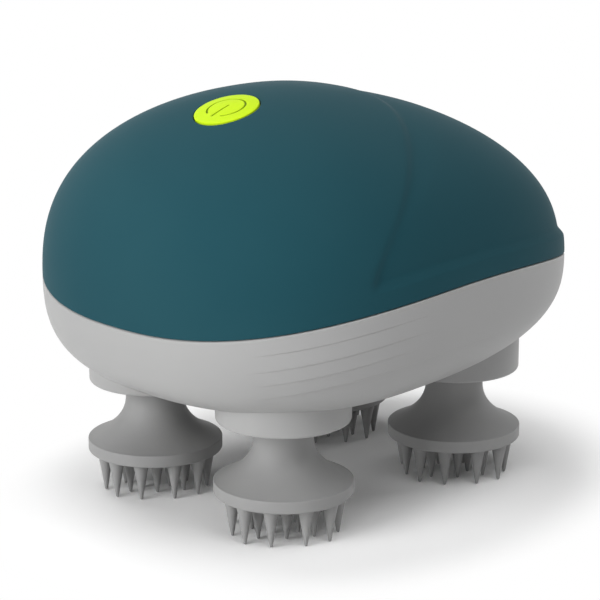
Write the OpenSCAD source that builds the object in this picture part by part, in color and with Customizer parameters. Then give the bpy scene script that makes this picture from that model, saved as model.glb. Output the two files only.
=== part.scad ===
// Electric scalp massager: a domed two-half casing over four turning heads with soft teeth.
// Origin: middle of the overall box, on the table under the tooth tips. +Z up, power button
// towards -Y (nose), grip recess towards +Y (tail). Millimetres.

/* [Casing] */
// Width of the casing at its widest line
casing_w = 115; // [112:1:124]
// Length of the casing from nose to tail
casing_l = 126; // [124:1:136]
// Height of the crown above the table
crown_z = 99.5; // [98:0.5:108]
// Wall of both casing halves
wall = 2.4; // [1.8:0.1:2.8]
// How far the widest line lies in front of the middle
widest_forward = 5.4; // [3:0.2:8]
// How far the crown lies in front of the middle
crown_forward = 8.4; // [5:0.2:12]
// Height of the seam at the middle of the sides
seam_z = 61.4; // [60:0.2:63]
// How far the seam drops 60 mm in front of or behind the middle
seam_drop = 9; // [7:0.5:10]
// How far the seam rises 60 mm behind the middle
seam_rise = 0.7; // [0:0.1:1.4]
// Height of the flat belly of the lower half
belly_z = 28.4; // [28:0.1:29]

/* [Grip recess] */
// Depth of the recess in the rear of the upper half, where it is deepest
recess_depth = 1.2; // [0.8:0.1:1.6]
// Width over which the edge of the recess rolls in
recess_edge = 2.4; // [1.6:0.2:4]
// Height of the ledge that is left standing above the seam
ledge_h = 4.4; // [3:0.2:6]
// How far the recess reaches forward of the middle, down at the ledge
recess_forward = 31.2; // [26:0.4:36]

/* [Power button] */
// Diameter of the button cap
button_d = 15.6; // [14:0.2:17]
// How far the button lies in front of the middle
button_forward = 27.4; // [25:0.2:29]
// Lean of the button towards the nose
button_tilt = 16.6; // [14:0.2:19]
// Travel of the button
button_travel = 0.5; // [0.3:0.1:0.6]
// Gap round the button cap
button_gap = 0.25; // [0.2:0.05:0.4]
// Radius of the ring of the power mark
mark_r = 4.6; // [3.6:0.1:5]
// Width of the engraved lines of the power mark
mark_w = 0.4; // [0.3:0.05:0.5]

/* [Heads] */
// Distance between the head axes across the casing
head_pitch_x = 45; // [43:0.5:46]
// Distance between the head axes along the casing
head_pitch_y = 60; // [58:0.5:61]
// How far the middle of the four heads lies in front of the middle of the casing
heads_forward = 1.2; // [0.4:0.1:2]
// Diameter of the rim of a head
head_d = 33; // [30:0.5:35]
// Height of the upper edge of the rim
rim_top_z = 12.4; // [12:0.1:12.8]
// Length of the teeth
tooth_l = 9.3; // [8.6:0.1:9.8]
// Diameter of the neck of a head
neck_d = 14.2; // [13.4:0.1:15]
// Thickness of a tooth at its root
tooth_root_d = 3.8; // [2.6:0.1:4]
// Thickness of a tooth at its tip
tooth_tip_d = 0.9; // [0.7:0.1:1.2]
// How far the outer one of three teeth in a row stands inside the rim
row_inset = 2.6; // [2.4:0.1:3]
// Distance between the teeth of a row
row_pitch = 4.7; // [4.4:0.1:4.8]
// Distance of the single tooth between two rows from the axis of the head
single_r = 7.5; // [7.2:0.1:8]
// How far the pair of teeth outside the single one stands inside the rim
pair_inset = 3.5; // [3:0.1:3.8]
// Angle between the two teeth of a pair
pair_angle = 36; // [32:1:40]
// Turn of the rows
row_turn = 5.5; // [0:0.5:30]

/* [Collars, bushes and shafts] */
// Diameter of the collars above the heads
collar_d = 31.8; // [30:0.2:33]
// Height of the underside of the collars
collar_z = 27.1; // [26.8:0.1:27.3]
// Wall of the collars
collar_wall = 2; // [1.6:0.1:2.4]
// Running gap between a head and its collar
head_gap = 0.4; // [0.3:0.1:0.6]
// Diameter of the output shafts
shaft_d = 6; // [5:0.2:6.4]
// Width across the two flats at the lower end of a shaft
shaft_flats = 4.6; // [3.8:0.1:4.8]
// Outer diameter of a bush
bush_d = 11; // [10:0.2:12]
// Outer diameter of a shaft seal
seal_d = 14; // [13:0.2:15]
// Thickness of a shaft seal
seal_h = 2.7; // [2.2:0.1:2.8]

/* [Gear train] */
// Teeth of the drive gear in the middle
drive_teeth = 50; // [48:1:52]
// Teeth of each of the four output gears
output_teeth = 25; // [24:1:26]
// Teeth of the small wheel of the reduction gear
small_teeth = 12; // [12:1:13]
// Teeth of the large wheel of the reduction gear
large_teeth = 54; // [50:1:54]
// Teeth of the motor pinion
pinion_teeth = 12; // [12:1:14]
// Module of the motor pinion and the large wheel
fast_module = 0.6; // [0.55:0.01:0.6]
// Face width of the drive and output gears
gear_h = 4; // [3:0.1:4.4]
// Face width of the large wheel
large_wheel_h = 3.5; // [2.6:0.1:3.6]
// Diameter of the fixed axle of the drive gear
drive_axle_d = 5; // [4:0.1:6]
// Diameter of the fixed axle of the reduction gear
reduction_axle_d = 3; // [2.4:0.1:3.4]
// Pressure angle of all teeth
pressure_angle = 25; // [25:1:26]
// Thinning of each tooth flank
backlash = 0.05; // [0.04:0.01:0.07]

/* [Gearbox frame] */
// Height of the underside of the lower plate
plate_z = 37.5; // [37.3:0.1:38]
// Thickness of both plates
plate_h = 2.5; // [2:0.1:2.7]
// Room between the plates
plate_room = 11.5; // [11.4:0.1:12.5]
// Diameter of the spacers between the plates
spacer_d = 7; // [6:0.2:7.4]
// Distance between the spacers across the casing
spacer_pitch_x = 68; // [67:0.5:69]
// Distance between the spacers along the casing
spacer_pitch_y = 30.4; // [28:0.4:31]

/* [Motor] */
// Diameter of the motor can
motor_d = 24.4; // [22:0.2:25]
// Length of the motor can
motor_l = 26; // [24:0.5:30]
// Diameter of the motor shaft
motor_shaft_d = 2; // [1.8:0.1:2.4]
// Distance between the motor screws
motor_screw_pitch = 17; // [16:0.5:18]

/* [Battery and board] */
// Diameter of the battery cell
cell_d = 18.4; // [17:0.2:18.6]
// Length of the battery cell
cell_l = 65; // [60:1:66]
// Width of the circuit board
board_w = 30; // [29:0.5:33]
// Length of the circuit board
board_l = 26; // [25:0.5:27]
// Thickness of the circuit board
board_h = 1.6; // [1.2:0.1:1.8]
// Depth of the board below the button's rest face
board_depth = 12; // [11.6:0.1:12.6]
// Thickness of the insulated leads
lead_d = 1.4; // [1:0.1:1.6]

/* [Charge contacts] */
// Diameter of a charge contact
contact_d = 4; // [3:0.2:5]
// Distance between the two charge contacts
contact_pitch = 20; // [18:0.5:22]
// How far the charge contacts lie in front of the middle
contact_forward = 46; // [44:0.5:47]
// Length of a charge contact
contact_h = 7; // [6.4:0.2:8]

/* [Screws] */
// Shank diameter of the case and gearbox screws
screw_d = 3; // [2.6:0.1:3.2]
// Head diameter of the case and gearbox screws
screw_head_d = 5.4; // [5:0.1:5.6]
// Head height of the case and gearbox screws
screw_head_h = 2; // [1.6:0.1:2.2]
// Shank diameter of the small screws for the board and the motor
small_screw_d = 2; // [1.8:0.1:2.2]
// Head diameter of the small screws
small_head_d = 3.8; // [3.4:0.1:4]
// Distance from the casing's sides to the case screws
case_screw_side = 17.5; // [16.5:0.5:18]
// Distance from the casing's nose and tail to the case screws
case_screw_end = 11; // [10.5:0.5:12]

/* [Fits] */
// Radial clearance of a turning fit
run_fit = 0.05; // [0.03:0.01:0.08]
// Radial clearance of parts that are pressed or screwed together
press_fit = 0.03; // [0.02:0.01:0.05]
// Air between a soft part and its neighbours
soft_gap = 0.3; // [0.2:0.05:0.4]

/* [Hidden] */
CORNERS = [["front_left", -1, -1], ["front_right", 1, -1], ["rear_left", -1, 1], ["rear_right", 1, 1]];
CORNER_PARTS = ["massage_head", "head_hub", "output_shaft", "output_gear", "shaft_bush", "shaft_seal"];

$fn = 48;
eps = 0.01;
over = 1; // how far a cut runs past the face that it starts from

// Colours
teal = "#2a5a66";
light_grey = "#b4b4b4";
head_grey = "#7d7d7d";
lime = "#c8ee2a";

// Casing surface: superellipse outline, a dome above the seam and a bowl below it
seam_span = 60;
ring_steps = 72;
dome_rows = 16;
bowl_rows = 12;
row_bias = 1.5; // draws the rows together near the seam
// Powers of the superellipse curves: where two are given, they are for the nose and the tail
nose_power = 2.38;
tail_power = 2.36;
dome_width_power = [1.83, 1.73];
dome_height_power = [2.47, 2.1];
bowl_width_power = [4.5, 2];
bowl_height_power = 2.74;
bowl_forward = widest_forward / 2;
cut_reach = 6;

// Heads
head_x = head_pitch_x / 2;
head_y = head_pitch_y / 2;
middle_y = -heads_forward;
rim_r = head_d / 2;
rim_round = 0.6;
neck_r = neck_d / 2;
neck_top_z = collar_z - head_gap;
flare_h = 10.4;
flare_drop = 5.1;
flare_run = 4.9;
flare_rise = 2;
skin_h = 1.7; // of the soft skin under the hub
skin_w = 5; // of the soft skin round the hub's flange
neck_skin = 2;
hub_floor_z = tooth_l + skin_h;
hub_flange_r = rim_r - skin_w;
hub_flange_h = 1.6;
hub_stem_r = neck_r - neck_skin;
hub_sole = 1; // under the end of the shaft
flat_end = 0.6; // the shaft's flats stop this far below the top of the neck
tooth_rows = 4;
row_teeth = 3;
tooth_sink = 1.2;

// Levels
plate_top_z = plate_z + plate_h;
cover_z = plate_top_z + plate_room;
cover_top_z = cover_z + plate_h;
end_play = 0.3;
gear_rise = 1;
gear_z = plate_top_z + gear_rise;
wheel_gap = 1.5;
large_wheel_z = gear_z + gear_h + wheel_gap;
shaft_low_z = hub_floor_z + hub_flange_h + hub_sole;
shaft_r = shaft_d / 2;
seal_low_z = collar_z + soft_gap;
seal_top_z = seal_low_z + seal_h;
bush_shoulder_h = 0.9;
bush_floor_z = seal_top_z + bush_shoulder_h;
boss_wall = 2;
boss_r = max(bush_d, seal_d) / 2 + boss_wall;
collar_roof_z = plate_top_z + 1; // high enough to stay inside the casing at the rear
collar_roof_h = 0.5;
shaft_room = 0.5; // air round a shaft where nothing guides it

// Gear geometry: the drive gear fills the distance to the head axes with its four outputs
head_distance = norm([head_x, head_y]);
slow_module = 2 * head_distance / (drive_teeth + output_teeth);
reduction_y = middle_y + slow_module * (drive_teeth + small_teeth) / 2;
motor_y = reduction_y - fast_module * (large_teeth + pinion_teeth) / 2;
addendum = 0.95;
dedendum = 1.25;
hub_wall = 2; // of a gear's hub round its bore
hub_z = plate_top_z + end_play;
hub_h = plate_room - 2 * end_play;

// Button and board, in the button's own frame: origin on the casing surface, +Z outwards
button_r = button_d / 2;
button_y = -button_forward;
button_z = dome_height(button_y);
cap_crown = 0.45; // height of the cap's middle above the casing
cap_fall = 0.55; // from the middle to the edge
cap_bevel = 0.15;
cap_steps = 6;
mark_depth = 0.35;
mark_start = 0.9; // the bar starts this far behind the middle of the cap
mark_opening = 30; // half the gap of the ring, degrees
flange_z = wall + 1;
flange_h = 0.7;
flange_lip = 1.3;
ring_in = 1; // the soft ring stands this far inside the edge of the cap
ring_wall = 1.6;
switch_w = 6;
switch_h = 3;
plunger_d = 3.2;
plunger_h = 1; // how far the plunger stands above the switch, and reaches into it
stem_depth = board_depth - switch_h - plunger_h;
stem_r = 2;
post_r = 2.4;
post_in = 3; // from the edges of the board to the middle of a screw
post_x = board_w / 2 - post_in;
post_y = board_l / 2 - post_in;
board_low = board_depth + board_h;

// Battery
cell_r = cell_d / 2;
tray_floor = 2;
cell_gap = 9.4; // between the cell and the motor
cell_y = motor_y - motor_d / 2 - cell_r - cell_gap;
cell_z = cover_top_z + tray_floor + cell_r + soft_gap;
cell_nub_d = 6.4;
cell_nub_h = 1.5;
cell_bare = 6.5; // each end of the cell stands out of the tray by this much
tray_l = cell_l - 2 * cell_bare;
tray_side = 1.5;
tray_w = cell_d + 2 * tray_side;
tray_lip = cell_r * 2 / 3; // height of the tray's sides above its floor
strap_h = 1.1;
strap_w = 8;
strap_in = 10; // from the ends of the tray to the middle of a strap
strap_x = tray_l / 2 - strap_in;

// Screws
case_boss_r = screw_head_d / 2 + boss_wall;
case_well_h = 14;
case_seat_z = belly_z + case_well_h;
case_grip = 8; // how far a case screw reaches above the middle of the seam
case_screw_l = seam_z + case_grip - case_seat_z;
gearbox_grip = 3.5; // how far a gearbox screw reaches below the lower plate
pilot_end = 0.5; // a pilot hole is this much deeper than its screw
small_head_h = 1.3;
board_grip = 5;
motor_grip = 3;

// Charge contacts
contact_x = contact_pitch / 2;
contact_y = -contact_forward;
contact_rise = 2.7; // the contacts start this far above the belly, so the bowl stands proud of them
contact_z = belly_z + contact_rise;

// ---------------------------------------------------------------- shared functions

function signed_pow(v, e) = sign(v) * pow(abs(v), e);
function blend(pair, t) = pair[0] * (1 - sin(t)) / 2 + pair[1] * (1 + sin(t)) / 2;
function smooth(v) = let (c = min(1, max(0, v))) c * c * (3 - 2 * c);
function seam(y) = seam_z + seam_rise * y / seam_span - seam_drop * pow(y / seam_span, 2);

// Point of the seam outline at angle t, moved in by inset
function seam_point(t, inset) =
    let (power = sin(t) < 0 ? nose_power : tail_power,
         reach = (sin(t) < 0 ? casing_l / 2 - widest_forward : casing_l / 2 + widest_forward) - inset,
         y = -widest_forward + reach * signed_pow(sin(t), 2 / power))
    [(casing_w / 2 - inset) * signed_pow(cos(t), 2 / power), y, seam(y)];

// Point of the dome at angle t round the casing and angle p up from the seam
function dome_point(t, p, inset) =
    let (q = seam_point(t, inset),
         a = pow(cos(p), 2 / blend(dome_width_power, t)),
         b = pow(sin(p), 2 / blend(dome_height_power, t)))
    [q.x * a, -crown_forward + (q.y + crown_forward) * a, q.z + (crown_z - inset - q.z) * b];

// Point of the bowl at angle t round the casing and angle p down from the seam
function bowl_point(t, p, inset) =
    let (q = seam_point(t, inset),
         a = pow(cos(p), 2 / blend(bowl_width_power, t)),
         b = pow(sin(p), 2 / bowl_height_power))
    [q.x * a, -bowl_forward + (q.y + bowl_forward) * a, q.z + (belly_z + inset - q.z) * b];

// Height of the dome above the middle line at y, in front of the crown
function dome_height(y) =
    let (reach = casing_l / 2 - crown_forward,
         a = min(1, abs(y + crown_forward) / reach),
         p = acos(pow(a, dome_width_power[0] / 2)))
    dome_point(-90, p, 0).z;

// The recess: inside a soft-cornered curve in side view and above the ledge. It is deepest along
// the ledge, half as deep along the rest of its edge, and runs out towards the crown.
recess_back = 18.8;
recess_lift = 3.6; // the recess starts this far above the seam
recess_sink = 0.8; // and ends this far below the crown
recess_low_z = seam_z + recess_lift;
recess_high_z = crown_z - recess_sink;
recess_power = 1.4;
recess_shares = [0.1, 0.42, 0.87]; // of the depth: everywhere, along the edge, along the ledge
recess_fades = [5, 11]; // the last two fade over these distances
function recess_inset(q) =
    let (u = max(0, (recess_back - q.y) / (recess_back + recess_forward)),
         v = max(0, (q.z - recess_low_z) / (recess_high_z - recess_low_z)),
         inside = (1 - pow(pow(u, recess_power) + pow(v, recess_power), 1 / recess_power))
             * (recess_back + recess_forward),
         above = q.z - seam(q.y) - ledge_h,
         at_edge = 1 / (1 + pow(max(0, inside) / recess_fades[0], 2)),
         at_ledge = 1 / (1 + pow(max(0, above) / recess_fades[1], 2)))
    recess_depth * smooth(inside / recess_edge + 1) * smooth(above / recess_edge)
        * (recess_shares[0] + max(recess_shares[1] * at_edge, recess_shares[2] * at_ledge));
function recessed_dome_point(t, p, inset) =
    dome_point(t, p, inset + recess_inset(dome_point(t, p, 0)));

function row_angle(row, rows) = 90 * pow(row / rows, row_bias);
function lifted(points, dz) = [for (q = points) [q.x, q.y, q.z + dz]];

// Faces of a stack of rings with a pole at its end and a cap across the first ring. The cap runs
// in flat strips from side to side, because the seam's height depends on y alone.
function stack_faces(rings, n) = concat(
    [for (r = [0:rings - 2], k = [0:n - 1])
        let (a = r * n + k, b = r * n + (k + 1) % n) each [[a, b + n, b], [a, a + n, b + n]]],
    [for (k = [0:n - 1]) [(rings - 1) * n + k, rings * n, (rings - 1) * n + (k + 1) % n]],
    [for (i = [0:n / 2 - 1])
        let (a = (n / 4 - i + n) % n, b = (a - 1 + n) % n,
             a2 = (n / 2 - a + n) % n, b2 = (n / 2 - b + n) % n)
        each concat(a == a2 ? [] : [[a, a2, b]], b == b2 ? [] : [[a2, b2, b]])]);
function flipped(faces) = [for (f = faces) [f[2], f[1], f[0]]];

// ---------------------------------------------------------------- shared modules

// Closed dome with its recess; lower > 0 carries its rim straight down below the seam
module dome_solid(inset, lower = 0) {
    turns = [for (k = [0:ring_steps - 1]) 360 * k / ring_steps];
    rows = [for (r = [0:dome_rows - 1])
        [for (t = turns) recessed_dome_point(t, row_angle(r, dome_rows), inset)]];
    skirt = lower > 0 ? [lifted(rows[0], -lower)] : [];
    pole = [0, -crown_forward, crown_z - inset];
    rings = concat(skirt, rows);
    polyhedron(concat([for (ring = rings) each ring], [pole]), stack_faces(len(rings), ring_steps),
        convexity = 4);
}

// Closed bowl; upper > 0 carries its rim straight up above the seam
module bowl_solid(inset, upper = 0) {
    turns = [for (k = [0:ring_steps - 1]) 360 * k / ring_steps];
    rows = [for (r = [0:bowl_rows - 1])
        [for (t = turns) bowl_point(t, row_angle(r, bowl_rows), inset)]];
    skirt = upper > 0 ? [lifted(rows[0], upper)] : [];
    pole = [0, -bowl_forward, belly_z + inset];
    rings = concat(skirt, rows);
    polyhedron(concat([for (ring = rings) each ring], [pole]),
        flipped(stack_faces(len(rings), ring_steps)), convexity = 4);
}

module at(x, y, z = 0) translate([x, y, z]) children();
module at_corner(corner) translate([corner[1] * head_x, middle_y + corner[2] * head_y, 0]) children();
module at_all_corners() for (corner = CORNERS) at_corner(corner) children();
module at_spacers() for (sx = [-1, 1], sy = [-1, 1])
    at(sx * spacer_pitch_x / 2, middle_y + sy * spacer_pitch_y / 2) children();
module at_case_screws() {
    for (sx = [-1, 1]) at(sx * (casing_w / 2 - case_screw_side), middle_y) children();
    for (sy = [-1, 1]) at(0, sy * (casing_l / 2 - case_screw_end)) children();
}
module at_button() translate([0, button_y, button_z]) rotate([button_tilt, 0, 0]) children();
function on_board(x, y, z) = [x,
    button_y + y * cos(button_tilt) - z * sin(button_tilt),
    button_z + y * sin(button_tilt) + z * cos(button_tilt)];

module tube(outer_r, inner_r, h) difference() {
    cylinder(r = outer_r, h = h);
    translate([0, 0, -over]) cylinder(r = inner_r, h = h + 2 * over);
}

// Screw with its tip at the origin and its head on top
module pan_screw(shank_d, head_d, head_h, length) {
    cylinder(d = shank_d, h = length + eps);
    at(0, 0, length) cylinder(d = head_d, h = head_h);
}

// Flat plate with true round corners
module rounded_plate(w, l, r, h) {
    translate([-w / 2 + r, -l / 2, 0]) cube([w - 2 * r, l, h]);
    translate([-w / 2, -l / 2 + r, 0]) cube([w, l - 2 * r, h]);
    for (sx = [-1, 1], sy = [-1, 1])
        at(sx * (w / 2 - r), sy * (l / 2 - r)) cylinder(r = r, h = h);
}

// Half the angle that an involute tooth fills at radius rho
function involute(a) = tan(a) * 180 / PI - a;
function tooth_half(teeth, module_size, rho) =
    let (pitch_r = teeth * module_size / 2,
         base_r = pitch_r * cos(pressure_angle),
         a = rho > base_r ? acos(base_r / rho) : 0)
    90 / teeth - backlash / pitch_r * 180 / PI + involute(pressure_angle) - involute(a);
function polar(r, a) = [r * cos(a), r * sin(a)];

// Spur gear blank with a tooth centred on the angle phase
module spur(teeth, module_size, h, phase) {
    pitch_r = teeth * module_size / 2;
    base_r = max(pitch_r * cos(pressure_angle), pitch_r - dedendum * module_size);
    root_r = pitch_r - dedendum * module_size;
    tip_r = pitch_r + addendum * module_size;
    radii = root_r < base_r - eps ? [root_r, base_r, pitch_r, tip_r] : [base_r, pitch_r, tip_r];
    halves = [for (r = radii) tooth_half(teeth, module_size, r)];
    last = len(radii) - 1;
    linear_extrude(height = h) polygon([for (i = [0:teeth - 1])
        let (c = phase + 360 * i / teeth)
        each concat(
            [for (j = [0:last]) polar(radii[j], c - halves[j])],
            [for (j = [last:-1:0]) polar(radii[j], c + halves[j])])]);
}

// Phase that puts a gap of the second gear on a tooth of the first, in direction beta from it
function mesh_phase(teeth_1, phase_1, teeth_2, beta) =
    beta + 180 + teeth_1 / teeth_2 * (beta - phase_1) + 180 / teeth_2;
small_phase = mesh_phase(drive_teeth, 0, small_teeth, 90);
pinion_phase = mesh_phase(large_teeth, 0, pinion_teeth, -90);

// Round lead swept along a smooth curve through hand-chosen points
lead_sides = 6;
lead_steps = 3;
function spline(p, i, f) =
    let (a = p[max(0, i - 1)], b = p[i], c = p[i + 1], d = p[min(len(p) - 1, i + 2)])
    0.5 * (2 * b + (c - a) * f + (2 * a - 5 * b + 4 * c - d) * f * f
        + (3 * b - a - 3 * c + d) * f * f * f);
function unit(v) = v / norm(v);
module lead(points) {
    n = len(points) - 1;
    path = concat([for (i = [0:n - 1], s = [0:lead_steps - 1]) spline(points, i, s / lead_steps)],
        [points[n]]);
    count = len(path);
    rings = [for (i = [0:count - 1])
        let (way = unit(path[min(count - 1, i + 1)] - path[max(0, i - 1)]),
             side = unit(cross(way, [0.31, 0.95, 0.05])), up = cross(way, side))
        for (k = [0:lead_sides - 1])
            path[i] + lead_d / 2 * (cos(360 * k / lead_sides) * side + sin(360 * k / lead_sides) * up)];
    polyhedron(rings, concat(
        [for (i = [0:count - 2], k = [0:lead_sides - 1])
            let (a = i * lead_sides + k, b = i * lead_sides + (k + 1) % lead_sides)
            each [[a, b + lead_sides, b], [a, a + lead_sides, b + lead_sides]]],
        [[for (k = [0:lead_sides - 1]) k],
         [for (k = [lead_sides - 1:-1:0]) (count - 1) * lead_sides + k]]), convexity = 4);
}

// ---------------------------------------------------------------- casing

module top_shell() color(teal) difference() {
    dome_solid(0);
    difference() {
        dome_solid(wall, lower = cut_reach);
        at_button() for (sx = [-1, 1], sy = [-1, 1])
            at(sx * post_x, sy * post_y, -board_depth) cylinder(r = post_r, h = 2 * board_depth);
        at_case_screws() cylinder(r = case_boss_r, h = crown_z);
    }
    at_button() at(0, 0, -2 * wall) cylinder(r = button_r + button_gap, h = 4 * wall);
    at_button() for (sx = [-1, 1], sy = [-1, 1])
        at(sx * post_x, sy * post_y, -board_depth - over)
            cylinder(r = small_screw_d / 2 + press_fit, h = board_grip + pilot_end + over);
    at_case_screws() cylinder(r = screw_d / 2 + press_fit, h = seam_z + case_grip + pilot_end);
}

module bottom_shell() color(light_grey) difference() {
    union() {
        bowl_solid(0);
        at_all_corners() at(0, 0, collar_z)
            cylinder(d = collar_d, h = collar_roof_z + collar_roof_h - collar_z);
    }
    difference() {
        union() {
            bowl_solid(wall, upper = cut_reach);
            at_all_corners() at(0, 0, collar_z + wall)
                cylinder(r = collar_d / 2 - collar_wall, h = collar_roof_z - collar_z - wall);
        }
        at_all_corners() at(0, 0, collar_z) cylinder(r = boss_r, h = plate_z - collar_z);
        at_spacers() at(0, 0, belly_z) cylinder(r = spacer_d / 2, h = plate_z - belly_z);
        at_case_screws() at(0, 0, belly_z) cylinder(r = case_boss_r, h = seam_z - belly_z);
    }
    at_all_corners() {
        at(0, 0, collar_z - over) cylinder(r = seal_d / 2 + press_fit, h = seal_top_z - collar_z + over);
        at(0, 0, collar_z) cylinder(r = shaft_r + shaft_room, h = plate_z);
        at(0, 0, bush_floor_z) cylinder(r = bush_d / 2 + press_fit, h = plate_z - bush_floor_z + over);
    }
    at_spacers() at(0, 0, plate_z - gearbox_grip - pilot_end)
        cylinder(r = screw_d / 2 + press_fit, h = gearbox_grip + pilot_end + over);
    at_case_screws() {
        cylinder(r = screw_head_d / 2 + soft_gap, h = case_seat_z);
        cylinder(r = screw_d / 2 + soft_gap, h = crown_z);
    }
    at_contacts() cylinder(r = contact_d / 2 + press_fit, h = seam_z);
}

// Square-section ring that bridges the seam on the inside
module seam_gasket() color("#3a3a3a") {
    gasket_w = 1.6;
    gasket_h = 3;
    turns = [for (k = [0:ring_steps - 1]) 360 * k / ring_steps];
    outer = [for (t = turns) seam_point(t, wall + soft_gap)];
    inner = [for (t = turns) seam_point(t, wall + soft_gap + gasket_w)];
    n = ring_steps;
    rings = [lifted(outer, -gasket_h / 2), lifted(outer, gasket_h / 2),
        lifted(inner, gasket_h / 2), lifted(inner, -gasket_h / 2)];
    polyhedron([for (ring = rings) each ring],
        [for (r = [0:3], k = [0:n - 1])
            let (a = r * n + k, b = r * n + (k + 1) % n,
                 c = (r + 1) % 4 * n + (k + 1) % n, d = (r + 1) % 4 * n + k)
            each [[a, c, b], [a, d, c]]], convexity = 6);
}

module case_screws() color("#8f9296") at_case_screws() at(0, 0, case_seat_z + case_screw_l)
    mirror([0, 0, 1]) pan_screw(screw_d, screw_head_d, screw_head_h, case_screw_l);

module at_contacts() for (sx = [-1, 1]) at(sx * contact_x, contact_y) children();

module charge_contacts() color("#c9a64a") at_contacts() at(0, 0, contact_z)
    cylinder(d = contact_d, h = contact_h);

// ---------------------------------------------------------------- button and board

module power_button() color(lime) at_button() difference() {
    union() {
        rotate_extrude() polygon(concat([[0, -flange_z - flange_h], [0, cap_crown]],
            [for (i = [1:cap_steps]) let (r = i / cap_steps * (button_r - cap_bevel))
                [r, cap_crown - cap_fall * pow(r / button_r, 2)]],
            [[button_r, cap_crown - cap_fall - cap_bevel], [button_r, -flange_z],
             [button_r + flange_lip, -flange_z], [button_r + flange_lip, -flange_z - flange_h]]));
        at(0, 0, -stem_depth) cylinder(r = stem_r, h = stem_depth - flange_z);
    }
    power_mark();
}

// Open ring and bar of the usual power mark, opening towards the nose
module power_mark() {
    at(0, 0, cap_crown - 2 * mark_depth) {
        rotate([0, 0, mark_opening - 90]) rotate_extrude(angle = 360 - 2 * mark_opening)
            translate([mark_r - mark_w / 2, 0]) square([mark_w, 3 * mark_depth]);
        translate([-mark_w / 2, -mark_r - mark_w, 0])
            cube([mark_w, mark_r + mark_w + mark_start, 3 * mark_depth]);
    }
}

module switch_plunger() color("#2b2b2b") at_button()
    at(0, 0, -stem_depth - 2 * plunger_h) cylinder(d = plunger_d, h = 2 * plunger_h);

module tact_switch() color("#1f2224") at_button() difference() {
    translate([-switch_w / 2, -switch_w / 2, -board_depth]) cube([switch_w, switch_w, switch_h]);
    at(0, 0, -stem_depth - 2 * plunger_h - button_travel - soft_gap)
        cylinder(r = plunger_d / 2 + run_fit, h = 3 * plunger_h);
}

// Soft ring under the cap that returns it and keeps water out
module button_ring() color("#4a4d50") at_button() {
    ring_h = board_depth - flange_z - flange_h - button_travel - soft_gap;
    at(0, 0, -board_depth) tube(button_r - ring_in, button_r - ring_in - ring_wall, ring_h);
}

module circuit_board() color("#1d6b3c") at_button() difference() {
    translate([-board_w / 2, -board_l / 2, -board_low]) cube([board_w, board_l, board_h]);
    for (sx = [-1, 1], sy = [-1, 1]) at(sx * post_x, sy * post_y, -board_low - over)
        cylinder(r = small_screw_d / 2 + press_fit, h = board_h + 2 * over);
}

// Each chip hangs under the board: middle x and y, then width, length and height
chips = [[-2, -1, 8, 6, 1.5], [6.5, -0.5, 4, 5, 1.2], [5.2, 7.5, 4.5, 4, 2]];
capacitor = [-4, 7, 5, 4]; // middle x and y, diameter and height
module board_chips() color("#18191b") at_button() at(0, 0, -board_low) {
    for (chip = chips) translate([chip[0] - chip[2] / 2, chip[1] - chip[3] / 2, -chip[4]])
        cube([chip[2], chip[3], chip[4]]);
    at(capacitor[0], capacitor[1], -capacitor[3]) cylinder(d = capacitor[2], h = capacitor[3]);
}

module board_screws() color("#9a9da1") at_button() for (sx = [-1, 1], sy = [-1, 1])
    at(sx * post_x, sy * post_y, board_grip - board_depth) mirror([0, 0, 1])
        pan_screw(small_screw_d, small_head_d, small_head_h, board_h + board_grip);

// ---------------------------------------------------------------- battery

module along_x(x0) translate([x0, cell_y, cell_z]) rotate([0, 90, 0]) children();

module battery_cell() color("#3f7fb8") {
    along_x(-cell_l / 2) cylinder(r = cell_r, h = cell_l - cell_nub_h);
    along_x(cell_l / 2 - cell_nub_h - eps) cylinder(d = cell_nub_d, h = cell_nub_h);
}

module battery_tray() color("#46494d") difference() {
    translate([-tray_l / 2, cell_y - tray_w / 2, cover_top_z])
        cube([tray_l, tray_w, tray_floor + soft_gap + tray_lip]);
    along_x(-tray_l) cylinder(r = cell_r + soft_gap, h = 2 * tray_l);
}

module battery_straps() color("#2e3033") for (x = [-strap_x, strap_x]) difference() {
    along_x(x - strap_w / 2) cylinder(r = cell_r + soft_gap + strap_h, h = strap_w);
    along_x(x - strap_w) cylinder(r = cell_r + soft_gap, h = 2 * strap_w);
    translate([x - strap_w, cell_y - tray_w, cell_z - cell_r + tray_lip - tray_w])
        cube([2 * strap_w, 2 * tray_w, tray_w]);
}

// ---------------------------------------------------------------- gearbox frame

plate_rim = 7; // from the head axes to the edge of a plate
module plate_outline(h) difference() {
    at(0, middle_y) union() {
        rounded_plate(head_pitch_x + 2 * plate_rim, head_pitch_y + 2 * plate_rim, plate_rim, h);
        rounded_plate(spacer_pitch_x + spacer_d, spacer_pitch_y + spacer_d, spacer_d / 2, h);
    }
    at_case_screws() at(0, 0, -over) cylinder(r = case_boss_r + 2 * soft_gap, h = h + 2 * over);
}

module plate_holes(h) {
    at_spacers() at(0, 0, -over) cylinder(r = screw_d / 2 + press_fit, h = h + 2 * over);
    at(0, middle_y, -over) cylinder(r = drive_axle_d / 2 + press_fit, h = h + 2 * over);
    at(0, reduction_y, -over) cylinder(r = reduction_axle_d / 2 + press_fit, h = h + 2 * over);
}

module gearbox_base() color("#c9ccce") at(0, 0, plate_z) difference() {
    plate_outline(plate_h);
    plate_holes(plate_h);
    at_all_corners() at(0, 0, -over) cylinder(r = shaft_r + shaft_room, h = plate_h + 2 * over);
}

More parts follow.
